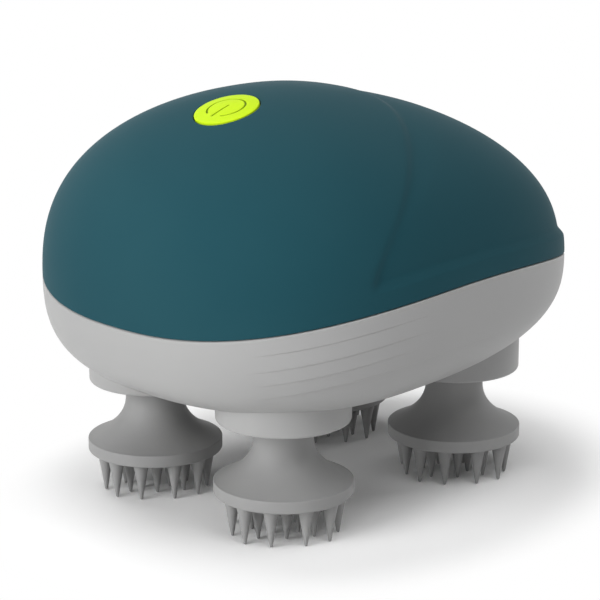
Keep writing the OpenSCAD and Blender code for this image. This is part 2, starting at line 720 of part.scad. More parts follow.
module gearbox_cover() color("#c9ccce") at(0, 0, cover_z) difference() {
    plate_outline(plate_h);
    plate_holes(plate_h);
    at_all_corners() at(0, 0, -over) cylinder(r = shaft_r + run_fit, h = plate_h + 2 * over);
    at(0, motor_y, -over) cylinder(r = motor_nose_r + soft_gap, h = plate_h + 2 * over);
    for (sx = [-1, 1]) at(sx * motor_screw_pitch / 2, motor_y, -over)
        cylinder(r = small_screw_d / 2 + press_fit, h = plate_h + 2 * over);
}

module gearbox_spacers() color("#a9acae") at_spacers() at(0, 0, plate_top_z)
    tube(spacer_d / 2, screw_d / 2 + press_fit, plate_room);

module gearbox_screws() color("#9a9da1") at_spacers() at(0, 0, plate_z - gearbox_grip)
    pan_screw(screw_d, screw_head_d, screw_head_h, cover_top_z - plate_z + gearbox_grip);

// ---------------------------------------------------------------- motor

motor_nose_r = 3;
motor_nose_h = 1.5;
motor_top_z = cover_top_z + motor_l;
cap_rim_h = 2.5;
cap_hub_d = 7;
cap_hub_h = 4;
cap_step = 0.8; // the end cap is this much smaller all round than the can
terminal_x = 7;
terminal_w = 2;
terminal_t = 1;
terminal_h = 4.5;
wheel_overlap = 0.3; // the pinion is wider than the wheel it drives by this much each side
pinion_z = large_wheel_z - wheel_overlap;
pinion_h = large_wheel_h + 2 * wheel_overlap;
motor_bore_h = 5.5;
motor_bore_top = cover_top_z + motor_bore_h;

module motor_can() color("#b9bcc0") at(0, motor_y) difference() {
    union() {
        at(0, 0, cover_top_z) cylinder(d = motor_d, h = motor_l);
        at(0, 0, cover_top_z - motor_nose_h) cylinder(r = motor_nose_r, h = motor_nose_h + eps);
    }
    cylinder(r = motor_shaft_d / 2 + run_fit, h = motor_bore_top);
    for (sx = [-1, 1]) at(sx * motor_screw_pitch / 2, 0)
        cylinder(r = small_screw_d / 2 + press_fit, h = cover_top_z + motor_grip + pilot_end);
}

module motor_end_cap() color("#35383b") at(0, motor_y, motor_top_z) {
    cylinder(d = motor_d - 2 * cap_step, h = cap_rim_h);
    cylinder(d = cap_hub_d, h = cap_hub_h);
    for (sx = [-1, 1]) translate([sx * terminal_x - terminal_w / 2, -terminal_t / 2, 0])
        cube([terminal_w, terminal_t, terminal_h]);
}

module motor_shaft() color("#d5d7da") at(0, motor_y, pinion_z)
    cylinder(d = motor_shaft_d, h = motor_bore_top - end_play - pinion_z);

module motor_pinion() color("#c8a85a") at(0, motor_y, pinion_z) difference() {
    spur(pinion_teeth, fast_module, pinion_h, pinion_phase);
    at(0, 0, -over) cylinder(r = motor_shaft_d / 2 + press_fit, h = pinion_h + 2 * over);
}

module motor_screws() color("#9a9da1") for (sx = [-1, 1])
    at(sx * motor_screw_pitch / 2, motor_y, cover_top_z + motor_grip) mirror([0, 0, 1])
        pan_screw(small_screw_d, small_head_d, small_head_h, plate_h + motor_grip);

// ---------------------------------------------------------------- gears and shafts

module drive_gear() color("#e6e2d3") at(0, middle_y) difference() {
    union() {
        at(0, 0, gear_z) spur(drive_teeth, slow_module, gear_h, 0);
        at(0, 0, hub_z) cylinder(r = drive_axle_d / 2 + hub_wall, h = hub_h);
    }
    at(0, 0, plate_z) cylinder(r = drive_axle_d / 2 + run_fit, h = cover_top_z);
}

module drive_axle() color("#d5d7da") at(0, middle_y, plate_z)
    cylinder(d = drive_axle_d, h = plate_room + 2 * plate_h);

module reduction_gear() color("#ded9c6") at(0, reduction_y) difference() {
    union() {
        at(0, 0, gear_z) spur(small_teeth, slow_module, large_wheel_z - gear_z + eps, small_phase);
        at(0, 0, large_wheel_z) spur(large_teeth, fast_module, large_wheel_h, 0);
        at(0, 0, hub_z) cylinder(r = reduction_axle_d / 2 + hub_wall, h = hub_h);
    }
    at(0, 0, plate_z) cylinder(r = reduction_axle_d / 2 + run_fit, h = cover_top_z);
}

module reduction_axle() color("#d5d7da") at(0, reduction_y, plate_z)
    cylinder(d = reduction_axle_d, h = plate_room + 2 * plate_h);

module output_gear(corner) color("#e6e2d3") at_corner(corner) difference() {
    union() {
        at(0, 0, gear_z) spur(output_teeth, slow_module, gear_h,
            mesh_phase(drive_teeth, 0, output_teeth, atan2(corner[2] * head_y, corner[1] * head_x)));
        at(0, 0, hub_z) cylinder(r = shaft_r + hub_wall, h = hub_h);
    }
    at(0, 0, plate_z) cylinder(r = shaft_r + press_fit, h = cover_top_z);
}

// Round above, two flats where the head pushes on
module output_shaft(corner) color("#d5d7da") at_corner(corner) difference() {
    at(0, 0, shaft_low_z) cylinder(r = shaft_r, h = cover_top_z - shaft_low_z);
    shaft_flat_cuts(shaft_flats, shaft_low_z - over, neck_top_z - flat_end);
}

// The two blocks that leave the given width across flats, between two heights
module shaft_flat_cuts(width, low_z, high_z) for (sx = [-1, 1])
    translate([sx * (width / 2 + shaft_d) - shaft_d, -shaft_d, low_z])
        cube([2 * shaft_d, 2 * shaft_d, high_z - low_z]);

module shaft_bush(corner) color("#b98a4b") at_corner(corner) at(0, 0, bush_floor_z)
    tube(bush_d / 2, shaft_r + run_fit, plate_z - bush_floor_z);

module shaft_seal(corner) color("#2c2e30") at_corner(corner) at(0, 0, seal_low_z)
    tube(seal_d / 2, shaft_r + soft_gap, seal_h);

// ---------------------------------------------------------------- heads

// Stiff core of a head: a stem for the shaft and a flange that carries the soft skin
module hub_body(clear) {
    at(0, 0, hub_floor_z - clear) cylinder(r = hub_flange_r + clear, h = hub_flange_h + 2 * clear);
    at(0, 0, hub_floor_z) cylinder(r = hub_stem_r + clear, h = neck_top_z - hub_floor_z);
}

module head_hub(corner) color("#55585b") at_corner(corner) difference() {
    hub_body(0);
    difference() {
        at(0, 0, shaft_low_z - press_fit) cylinder(r = shaft_r + press_fit, h = neck_top_z);
        shaft_flat_cuts(shaft_flats + 2 * press_fit, shaft_low_z - over, neck_top_z - flat_end - press_fit);
    }
}

function bezier(a, b, c, d, f) =
    pow(1 - f, 3) * a + 3 * pow(1 - f, 2) * f * b + 3 * (1 - f) * f * f * c + pow(f, 3) * d;
flare_steps = 12;
flare_points =
    let (start = [neck_r, rim_top_z + flare_h], end = [rim_r - rim_round, rim_top_z])
    [for (i = [0:flare_steps]) bezier(start, start - [0, flare_drop],
        end + [-flare_run, flare_rise], end, i / flare_steps)];

// Tooth with its tip on the table: a cone on a ball that is cut to a small flat
module tooth() {
    tip_r = tooth_tip_d / 2;
    flat_angle = 22.5;
    lift = tip_r * cos(flat_angle);
    translate([0, 0, lift]) rotate_extrude($fn = 24) polygon(concat(
        [[0, -lift]],
        [for (a = [flat_angle:flat_angle:90]) tip_r * [sin(a), -cos(a)]],
        [[tooth_root_d / 2, tooth_l - lift], [tooth_root_d / 2, tooth_l - lift + tooth_sink],
         [0, tooth_l - lift + tooth_sink]]));
}

module massage_head(corner) color(head_grey) at_corner(corner) {
    difference() {
        rotate_extrude() polygon(concat([[0, neck_top_z], [neck_r, neck_top_z]], flare_points,
            [[rim_r - rim_round * 0.25, rim_top_z - rim_round * 0.35], [rim_r, rim_top_z - rim_round],
             [rim_r, tooth_l + rim_round], [rim_r - rim_round * 0.3, tooth_l + rim_round * 0.3],
             [rim_r - rim_round, tooth_l], [0, tooth_l]]));
        hub_body(press_fit);
        at(0, 0, neck_top_z - over) cylinder(r = hub_stem_r + press_fit, h = 2 * over);
    }
    for (row = [0:tooth_rows - 1]) rotate([0, 0, row_turn + 360 * row / tooth_rows]) {
        for (i = [0:row_teeth - 1]) translate([rim_r - row_inset - i * row_pitch, 0, 0]) tooth();
        rotate([0, 0, 180 / tooth_rows]) {
            translate([single_r, 0, 0]) tooth();
            for (side = [-1, 1])
                rotate([0, 0, side * pair_angle / 2]) translate([rim_r - pair_inset, 0, 0]) tooth();
        }
    }
}

// ---------------------------------------------------------------- leads

lead_out = 3; // a lead runs this far before it bends
lead_rise = 2; // height of the bend of a lead where it starts or ends
motor_pad = [6, 4]; // pads of the motor leads: from the middle, and from the rear edge of the board
module motor_leads() {
    for (side = [["#b03a2e", 1], ["#26282a", -1]]) color(side[0]) lead([
        [side[1] * terminal_x, motor_y, motor_top_z + terminal_h + lead_d / 2],
        [side[1] * terminal_x, motor_y - lead_out, motor_top_z + terminal_h + lead_rise],
        [side[1] * (motor_pad[0] + terminal_x) / 2, motor_y - motor_d / 2,
            on_board(0, board_l / 2, 0).z - board_depth + lead_rise],
        on_board(side[1] * motor_pad[0], board_l / 2 - lead_out, lead_rise - lead_d / 4 - board_depth),
        on_board(side[1] * motor_pad[0], board_l / 2 - motor_pad[1], -board_depth)]);
}

battery_pad = [3, 1]; // pads of the battery leads: from the side edge, and from the middle
battery_lead_top = 5; // the battery leads pass this far above the cell
module battery_leads() {
    for (side = [["#b03a2e", 1], ["#26282a", -1]]) color(side[0]) lead([
        [side[1] * cell_l / 2, cell_y, cell_z],
        [side[1] * (cell_l / 2 + lead_rise), cell_y, cell_z + lead_d],
        [side[1] * (cell_l / 2 + lead_d / 2), cell_y - lead_d / 2, cell_z + cell_r],
        [side[1] * (board_w / 2 + lead_out), cell_y - lead_out, cell_z + cell_r + battery_lead_top],
        on_board(side[1] * (board_w / 2 - battery_pad[0] + lead_d / 2), battery_pad[1],
            -board_low - lead_rise),
        on_board(side[1] * (board_w / 2 - battery_pad[0]), battery_pad[1], -board_low)]);
}

charge_pad = [8, 3]; // pads of the charge leads: from the middle, and from the front edge
charge_lead_bow = 5; // how far the charge leads bow out towards the nose
charge_lead_reach = 7; // how far below and above the seam they start and stop bowing
module charge_leads() {
    for (side = [["#c9b23a", 1], ["#7a7d80", -1]]) color(side[0]) lead([
        [side[1] * contact_x, contact_y, contact_z + contact_h],
        [side[1] * contact_x, contact_y - lead_d / 2, contact_z + contact_h + lead_out],
        [side[1] * contact_x, contact_y - charge_lead_bow, seam_z - charge_lead_reach],
        [side[1] * contact_x, contact_y - lead_rise, seam_z + charge_lead_reach],
        on_board(side[1] * (charge_pad[0] + lead_d / 2), lead_d - board_l / 2, -board_low - charge_lead_bow),
        on_board(side[1] * charge_pad[0], charge_pad[1] - board_l / 2, -board_low)]);
}

// ---------------------------------------------------------------- the nodes

top_shell();
bottom_shell();
seam_gasket();
power_button();
button_ring();
switch_plunger();
tact_switch();
circuit_board();
board_chips();
board_screws();
battery_cell();
battery_tray();
battery_straps();
motor_can();
motor_end_cap();
motor_shaft();
motor_pinion();
motor_screws();
gearbox_base();
gearbox_cover();
gearbox_spacers();
gearbox_screws();
drive_gear();
drive_axle();
reduction_gear();
reduction_axle();
case_screws();
charge_contacts();
motor_leads();
battery_leads();
charge_leads();
for (corner = CORNERS) {
    massage_head(corner);
    head_hub(corner);
    output_shaft(corner);
    output_gear(corner);
    shaft_bush(corner);
    shaft_seal(corner);
}
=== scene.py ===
import logging
from collections.abc import Iterable
from dataclasses import dataclass, field
from enum import Enum

import bpy
import numpy as np
from bpy.types import Material, Node, NodeSocket, NodeTree, Object
from mathutils import Matrix, Vector


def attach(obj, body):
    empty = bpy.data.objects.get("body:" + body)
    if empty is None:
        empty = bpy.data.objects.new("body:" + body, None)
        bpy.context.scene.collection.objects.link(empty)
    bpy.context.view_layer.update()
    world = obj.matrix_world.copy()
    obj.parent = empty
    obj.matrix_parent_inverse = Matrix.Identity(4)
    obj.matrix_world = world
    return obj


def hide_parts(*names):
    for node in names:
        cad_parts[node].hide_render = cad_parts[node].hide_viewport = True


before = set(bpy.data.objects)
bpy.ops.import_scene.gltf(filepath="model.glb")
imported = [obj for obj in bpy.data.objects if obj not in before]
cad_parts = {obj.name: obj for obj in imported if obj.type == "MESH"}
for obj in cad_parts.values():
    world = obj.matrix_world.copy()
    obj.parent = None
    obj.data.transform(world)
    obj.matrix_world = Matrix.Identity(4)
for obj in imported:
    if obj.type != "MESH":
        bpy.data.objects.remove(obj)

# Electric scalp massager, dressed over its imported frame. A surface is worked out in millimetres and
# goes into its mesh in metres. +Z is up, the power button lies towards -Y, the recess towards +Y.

Array = np.ndarray
Pair = tuple[float, float]
Triple = tuple[float, float, float]

log = logging.getLogger("massager")
MM = 0.001
HEAD_AXES = {"front_left": (-22.5, -31.2), "front_right": (22.5, -31.2),
             "rear_left": (-22.5, 28.8), "rear_right": (22.5, 28.8)}
CASE_SCREWS = [(-40.0, -1.2), (40.0, -1.2), (0.0, -52.0), (0.0, 52.0)]


class Join(Enum):
    """How a tool solid changes a base solid."""

    ADD = "UNION"
    CUT = "DIFFERENCE"
    KEEP = "INTERSECT"


class Relief(Enum):
    """Fine relief of a finish: how far its grain is stretched along X, Y and Z."""

    MOULDED = (1.0, 1.0, 1.0)
    TURNED = (1.0, 1.0, 9.0)
    ROLLED = (0.12, 1.0, 1.0)


# ------------------------------------------------------------------ helpers

def new_object(name: str, data: bpy.types.ID) -> Object:
    """Makes an object around its data and links it to the scene.

    Args:
        name: name of the object.
        data: its mesh, light or camera.
    Returns:
        The object.
    """
    made = bpy.data.objects.new(name, data)
    bpy.context.scene.collection.objects.link(made)
    return made


def add_node(tree: NodeTree, kind: str, inputs: dict | None = None, **settings: str) -> Node:
    """Adds a shader node.

    Args:
        tree: node tree that it goes into.
        kind: the node's type without its leading ShaderNode.
        inputs: a value or a socket for each of its inputs, by name or number.
        settings: its other settings, which are made first.
    Returns:
        The node.
    """
    made = tree.nodes.new("ShaderNode" + kind)
    for key, value in settings.items():
        setattr(made, key, value)
    for key, value in (inputs or {}).items():
        if isinstance(value, NodeSocket):
            tree.links.new(value, made.inputs[key])
        else:
            made.inputs[key].default_value = value
    return made


def turns(count: int) -> Array:
    """Angles that share a full turn evenly, in radians."""
    return np.linspace(0, 2 * np.pi, count, endpoint=False)


def xyz(x: Array, y: Array, z: Array) -> Array:
    """Points from their coordinates, which become the last axis."""
    return np.stack(np.broadcast_arrays(x, y, z), axis=-1)


def direction(azimuth: float, elevation: float) -> Vector:
    """Unit way (cos az cos el, sin az cos el, sin el) for angles in degrees."""
    az, el = np.radians(azimuth), np.radians(elevation)
    return Vector((np.cos(az) * np.cos(el), np.sin(az) * np.cos(el), np.sin(el)))


# ------------------------------------------------------------------ surfaces

@dataclass
class Surface:
    """A closed surface in millimetres.

    Args:
        points: corner places, shape (n, 3).
        quads: four corner numbers a face, shape (m, 4).
        triangles: three corner numbers a face, shape (k, 3).
    """

    points: Array
    quads: Array
    triangles: Array = field(default_factory=lambda: np.zeros((0, 3), int))

    def outward(self) -> "Surface":
        """Turns every face round if the enclosed volume, the sum of a . (b x c) / 6, is negative.

        Returns:
            The surface with its faces pointing outwards.
        """
        q = self.quads
        split = np.concatenate([q[:, [0, 1, 2]], q[:, [0, 2, 3]], self.triangles])
        a, b, c = (self.points[split[:, k]] for k in range(3))
        if np.einsum("ij,ij->i", a, np.cross(b, c)).sum() < 0:
            return Surface(self.points, q[:, ::-1], self.triangles[:, ::-1])
        return self

    def placed(self, matrix: Array, offset: Array) -> "Surface":
        """The surface turned by a 3 x 3 matrix and then moved by an offset."""
        return Surface(self.points @ np.asarray(matrix).T + np.asarray(offset), self.quads, self.triangles)

    def moved(self, x: float, y: float, z: float = 0.0) -> "Surface":
        """The surface moved by x, y and z."""
        return Surface(self.points + np.array([x, y, z]), self.quads, self.triangles)

    def to_object(self, name: str) -> Object:
        """Puts the surface into a new object at the origin, in metres.

        Args:
            name: name of the object and its mesh.
        Returns:
            The new object, linked to the scene.
        """
        s = self.outward()
        mesh = bpy.data.meshes.new(name)
        corners = np.concatenate([s.quads.ravel(), s.triangles.ravel()]).astype(np.int32)
        quad_starts = np.arange(len(s.quads)) * 4
        starts = np.concatenate([quad_starts, len(s.quads) * 4 + np.arange(len(s.triangles)) * 3])
        mesh.vertices.add(len(s.points))
        mesh.vertices.foreach_set("co", (s.points * MM).astype(np.float32).ravel())
        mesh.loops.add(len(corners))
        mesh.loops.foreach_set("vertex_index", corners)
        mesh.polygons.add(len(starts))
        mesh.polygons.foreach_set("loop_start", starts.astype(np.int32))
        mesh.update(calc_edges=True)
        mesh.validate()
        return new_object(name, mesh)


def merged(surfaces: list[Surface]) -> Surface:
    """Puts surfaces that don't touch each other into one.

    Args:
        surfaces: the closed surfaces.
    Returns:
        One surface that holds them all, each with its faces outwards.
    """
    surfaces = [s.outward() for s in surfaces]
    first = np.cumsum([0] + [len(s.points) for s in surfaces])
    return Surface(
        np.concatenate([s.points for s in surfaces]),
        np.concatenate([s.quads + k for s, k in zip(surfaces, first)]),
        np.concatenate([s.triangles + k for s, k in zip(surfaces, first)]),
    )


def grid_quads(rows: int, columns: int, loop: bool = False) -> Array:
    """Quads between the rows of a grid whose columns run round and close.

    Args:
        rows: number of rows.
        columns: corners in a row.
        loop: whether the last row also meets the first.
    Returns:
        Corner numbers, shape (n, 4), where the corner (row, column) is row * columns + column.
    """
    row = np.arange(rows if loop else rows - 1)[:, None]
    column = np.arange(columns)[None, :]
    after, beside = (row + 1) % rows, (column + 1) % columns
    here = row * columns + column
    quads = [here, row * columns + beside, after * columns + beside, after * columns + column]
    return np.stack(np.broadcast_arrays(*quads), axis=-1).reshape(-1, 4)


def capped(rings: Array, low: Array, high: Array) -> Surface:
    """Closes a stack of rings with a pole at each end.

    Args:
        rings: ring points, shape (rows, columns, 3).
        low: the pole before the first ring.
        high: the pole after the last ring.
    Returns:
        The closed surface.
    """
    rows, columns = rings.shape[:2]
    points = np.concatenate([rings.reshape(-1, 3), [low, high]])
    k = np.arange(columns)
    beside, last = (k + 1) % columns, (rows - 1) * columns
    start = np.stack([beside, k, np.full(columns, rows * columns)], axis=1)
    end = np.stack([last + k, last + beside, np.full(columns, rows * columns + 1)], axis=1)
    return Surface(points, grid_quads(rows, columns), np.concatenate([start, end]))


def revolve(profile: list[Pair], columns: int = 96) -> Surface:
    """Carries a profile of (radius, height) round the Z axis: (r cos a, r sin a, h).

    Args:
        profile: corners from the axis to the axis; its first and last radius are 0.
        columns: corners round the axis.
    Returns:
        The closed solid of revolution.
    """
    path = np.asarray(profile, float)
    a = turns(columns)
    r, h = path[1:-1, 0][:, None], path[1:-1, 1][:, None]
    rings = xyz(r * np.cos(a), r * np.sin(a), h)
    return capped(rings, np.array([0, 0, path[0, 1]]), np.array([0, 0, path[-1, 1]]))


def column(radius: float, low: float, high: float, columns: int = 72) -> Surface:
    """A plain round column between two heights, for cutting and joining."""
    return revolve([(0, low), (radius, low), (radius, high), (0, high)], columns)


def arc(centre: Pair, radius: float, start: float, end: float, steps: int = 6) -> list[Pair]:
    """Points of a round corner: centre + radius (cos a, sin a), a in degrees from start to end."""
    a = np.radians(np.linspace(start, end, steps))
    return [(centre[0] + radius * np.cos(t), centre[1] + radius * np.sin(t)) for t in a]


def copies(solid: Surface, places: Iterable[Pair]) -> list[Surface]:
    """Copies of a solid, one at each place in plan."""
    return [solid.moved(x, y) for x, y in places]


def combine(base: Object, tool: "Surface | Object", way: Join) -> None:
    """Joins a tool to a base, cuts it away or keeps what both share, and removes the tool.

    Args:
        base: object whose mesh changes.
        tool: closed surface, or an object that is used up.
        way: what happens.
    """
    helper = tool.to_object("tool") if isinstance(tool, Surface) else tool
    step = base.modifiers.new(way.value, "BOOLEAN")
    step.operation = way.value
    step.solver = "MANIFOLD"
    step.object = helper
    depsgraph = bpy.context.evaluated_depsgraph_get()
    mesh = bpy.data.meshes.new_from_object(base.evaluated_get(depsgraph))
    base.modifiers.clear()
    old, base.data = base.data, mesh
    bpy.data.meshes.remove(old)
    bpy.data.objects.remove(helper)


def smooth(v: Array) -> Array:
    """Smooth step 3 c^2 - 2 c^3, where c is v kept between 0 and 1."""
    c = np.clip(v, 0, 1)
    return c * c * (3 - 2 * c)


def signed_power(v: Array, power: Array) -> Array:
    """sign(v) times |v| to a power."""
    return np.sign(v) * np.abs(v) ** power


# ------------------------------------------------------------------ finishes

@dataclass(frozen=True)
class Finish:
    """A procedural finish: a colour that drifts slowly, an uneven roughness and a fine relief.

    Args:
        name: name of the material.
        colour: main colour, sRGB from 0 to 1.
        drift: colour that the main one drifts to, sRGB from 0 to 1.
        roughness: lowest and highest roughness.
        metallic: 1 for a metal.
        specular: strength of the plain reflection.
        grain: size of the fine relief, mm.
        depth: depth of the fine relief, mm.
        relief: how the fine relief is stretched.
        patch: size of the slow drift, mm.
        sheen: strength of the soft sheen at grazing angles.
        coat: strength of a clear coat.
        far_side: colour on the -X side, for leads that come in pairs.
        groove: darker colour where the mesh's groove attribute is 1, painted shade inside the engraving.
    """

    name: str
    colour: Triple
    drift: Triple
    roughness: Pair = (0.42, 0.52)
    metallic: float = 0.0
    specular: float = 0.5
    grain: float = 0.3
    depth: float = 0.004
    relief: Relief = Relief.MOULDED
    patch: float = 30.0
    sheen: float = 0.0
    coat: float = 0.0
    far_side: Triple | None = None
    groove: Triple | None = None

    @staticmethod
    def linear(colour: Triple) -> tuple[float, float, float, float]:
        """sRGB to linear light: ((c + 0.055) / 1.055) to the power 2.4, straight near black.

        Args:
            colour: sRGB from 0 to 1.
        Returns:
            Linear red, green and blue, and an alpha of 1.
        """
        c = np.asarray(colour, float)
        value = np.where(c > 0.04045, ((c + 0.055) / 1.055) ** 2.4, c / 12.92)
        return (*[float(v) for v in value], 1.0)

    def noise(self, tree: NodeTree, size: float, detail: float, stretch: Triple) -> NodeSocket:
        """Adds noise on Object coordinates.

        Args:
            tree: node tree that it goes into.
            size: size of the pattern, mm.
            detail: octaves of the noise.
            stretch: how far the pattern is squeezed along X, Y and Z.
        Returns:
            The socket of the noise.
        """
        place = add_node(tree, "TexCoord").outputs["Object"]
        turned = add_node(tree, "Mapping", {"Vector": place, "Scale": stretch}).outputs["Vector"]
        values = {"Vector": turned, "Scale": 1 / (size * MM), "Detail": detail}
        return add_node(tree, "TexNoise", values).outputs["Fac"]

    def build(self) -> Material:
        """Makes the material, or returns the one that has been made.

        Returns:
            The material.
        """
        known = bpy.data.materials.get(self.name)
        if known:
            return known
        made = bpy.data.materials.new(self.name)
        made.use_nodes = True
        tree = made.node_tree
        slow = self.noise(tree, self.patch, 2.0, (1.0, 1.0, 1.0))
        fine = self.noise(tree, self.grain, 3.0, self.relief.value)
        spread = add_node(tree, "MapRange", {"Value": slow, "From Min": 0.35, "From Max": 0.65})
        values = {0: spread.outputs["Result"], 6: self.linear(self.colour), 7: self.linear(self.drift)}
        main = add_node(tree, "Mix", values, data_type="RGBA").outputs[2]
        if self.far_side:
            main = self.mixed(tree, main, self.far_side, self.left_half(tree))
        # Painted shade: the engraving's colour is darkened as if shade fell into the groove.
        if self.groove:
            pressed = add_node(tree, "Attribute", attribute_name="groove")
            main = self.mixed(tree, main, self.groove, pressed.outputs["Fac"])
        rough = add_node(tree, "MapRange", {"Value": fine, "From Min": 0.3, "From Max": 0.7,
                                            "To Min": self.roughness[0], "To Max": self.roughness[1]})
        bump = add_node(tree, "Bump", {"Height": fine, "Strength": 0.6, "Distance": self.depth * MM})
        shader = tree.nodes["Principled BSDF"]
        for key, socket in (("Base Color", main), ("Roughness", rough.outputs["Result"]),
                            ("Normal", bump.outputs["Normal"])):
            tree.links.new(socket, shader.inputs[key])
        values = {"Metallic": self.metallic, "Specular IOR Level": self.specular, "Sheen Weight": self.sheen,
                  "Sheen Roughness": 0.5, "Coat Weight": self.coat, "Coat Roughness": 0.35}
        for key, value in values.items():
            shader.inputs[key].default_value = value
        return made

    def left_half(self, tree: NodeTree) -> NodeSocket:
        """1 on the -X side and 0 on the other.

        Args:
            tree: node tree of the material.
        Returns:
            The socket of the value.
        """
        place = add_node(tree, "TexCoord").outputs["Object"]
        across = add_node(tree, "SeparateXYZ", {"Vector": place}).outputs["X"]
        return add_node(tree, "Math", {0: across, 1: 0.0}, operation="LESS_THAN").outputs["Value"]

    def mixed(self, tree: NodeTree, colour: NodeSocket, other: Triple, share: NodeSocket) -> NodeSocket:
        """Mixes a share of another sRGB colour into the colour so far."""
        values = {0: share, 6: colour, 7: self.linear(other)}
        return add_node(tree, "Mix", values, data_type="RGBA").outputs[2]


TEAL = Finish("satin_teal", (0.118, 0.268, 0.304), (0.130, 0.278, 0.312), roughness=(0.42, 0.5),
              specular=0.003, grain=0.22, depth=0.0025, patch=45, sheen=0.06)
GREY = Finish("satin_grey", (0.595, 0.595, 0.595), (0.605, 0.605, 0.603), roughness=(0.42, 0.5),
              specular=0.25, grain=0.25, depth=0.003, patch=40)
# The lime's groove colour is painted shade that darkens the engraved power mark.
LIME = Finish("satin_lime", (0.74, 0.865, 0.11), (0.73, 0.855, 0.13), roughness=(0.36, 0.44),
              specular=0.03, grain=0.2, depth=0.002, patch=6, groove=(0.40, 0.50, 0.08))
SILICONE = Finish("grey_silicone", (0.54, 0.54, 0.54), (0.555, 0.555, 0.553), roughness=(0.5, 0.6),
                  specular=0.25, grain=0.18, depth=0.003, patch=12)
SLOT_FINISHES = {
    "teal_shell": TEAL,
    "grey_shell": GREY,
    "lime_button": LIME,
    "head_silicone": SILICONE,
    "hub_plastic": Finish("dark_hub_plastic", (0.33, 0.35, 0.36), (0.36, 0.38, 0.39), patch=8),
    "gasket": Finish("black_rubber", (0.17, 0.17, 0.18), (0.21, 0.21, 0.22), roughness=(0.6, 0.75),
                     specular=0.3, patch=5),
    "black_plastic": Finish("black_moulding", (0.11, 0.12, 0.13), (0.15, 0.16, 0.17), patch=4),
    "frame_plastic": Finish("pale_frame_plastic", (0.74, 0.75, 0.76), (0.80, 0.81, 0.82), patch=15,
                            grain=0.4, depth=0.006),
    "gear_acetal": Finish("ivory_acetal", (0.88, 0.86, 0.79), (0.92, 0.90, 0.84), patch=9,
                          roughness=(0.32, 0.42), grain=0.5),
    "pinion_brass": Finish("cut_brass", (0.78, 0.64, 0.34), (0.84, 0.71, 0.42), metallic=1.0,
                           roughness=(0.24, 0.36), relief=Relief.TURNED, patch=3),
    "bush_bronze": Finish("sintered_bronze", (0.68, 0.50, 0.28), (0.76, 0.58, 0.34), metallic=1.0,
                          roughness=(0.4, 0.55), patch=3),
    "shaft_steel": Finish("ground_steel", (0.78, 0.79, 0.81), (0.85, 0.86, 0.88), metallic=1.0,
                          roughness=(0.2, 0.32), relief=Relief.TURNED, patch=4),
    "screw_steel": Finish("zinc_steel", (0.60, 0.61, 0.63), (0.68, 0.69, 0.70), metallic=1.0,
                          roughness=(0.28, 0.42), patch=2),
    "motor_steel": Finish("rolled_steel", (0.70, 0.71, 0.73), (0.78, 0.79, 0.80), metallic=1.0,
                          roughness=(0.3, 0.42), relief=Relief.ROLLED, patch=9),
    "contact_gold": Finish("gold_plate", (0.80, 0.64, 0.28), (0.88, 0.72, 0.36), metallic=1.0,
                           roughness=(0.22, 0.32), relief=Relief.TURNED, patch=2),
    "board_green": Finish("green_mask", (0.09, 0.36, 0.20), (0.13, 0.44, 0.26), coat=0.4,
                          roughness=(0.3, 0.42), patch=5),
    "cell_wrap": Finish("blue_wrap", (0.22, 0.45, 0.66), (0.27, 0.51, 0.72), coat=0.5,
                        roughness=(0.28, 0.38), relief=Relief.ROLLED, patch=14),
    "lead_wire": Finish("lead_sleeve", (0.68, 0.14, 0.12), (0.76, 0.20, 0.16), patch=3,
                        far_side=(0.13, 0.14, 0.15)),
}


def dress(piece: Object, finish: Finish, body: str, sharp: float = 32.0) -> None:
    """Gives a new piece its finish, its smooth shading and its place in the frame.

    Args:
        piece: the new object.
        finish: its finish.
        body: body that it moves with.
        sharp: edges that bend by more than this many degrees stay crisp.
    """
    mesh = piece.data
    mesh.materials.clear()
    mesh.materials.append(finish.build())
    mesh.polygons.foreach_set("material_index", np.zeros(len(mesh.polygons), np.int32))
    mesh.polygons.foreach_set("use_smooth", np.ones(len(mesh.polygons), bool))
    mesh.set_sharp_from_angle(angle=np.radians(sharp))
    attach(piece, body)
    mesh.calc_loop_triangles()
    log.info("%s: %d triangles, on %s", piece.name, len(mesh.loop_triangles), body)


# ------------------------------------------------------------------ casing

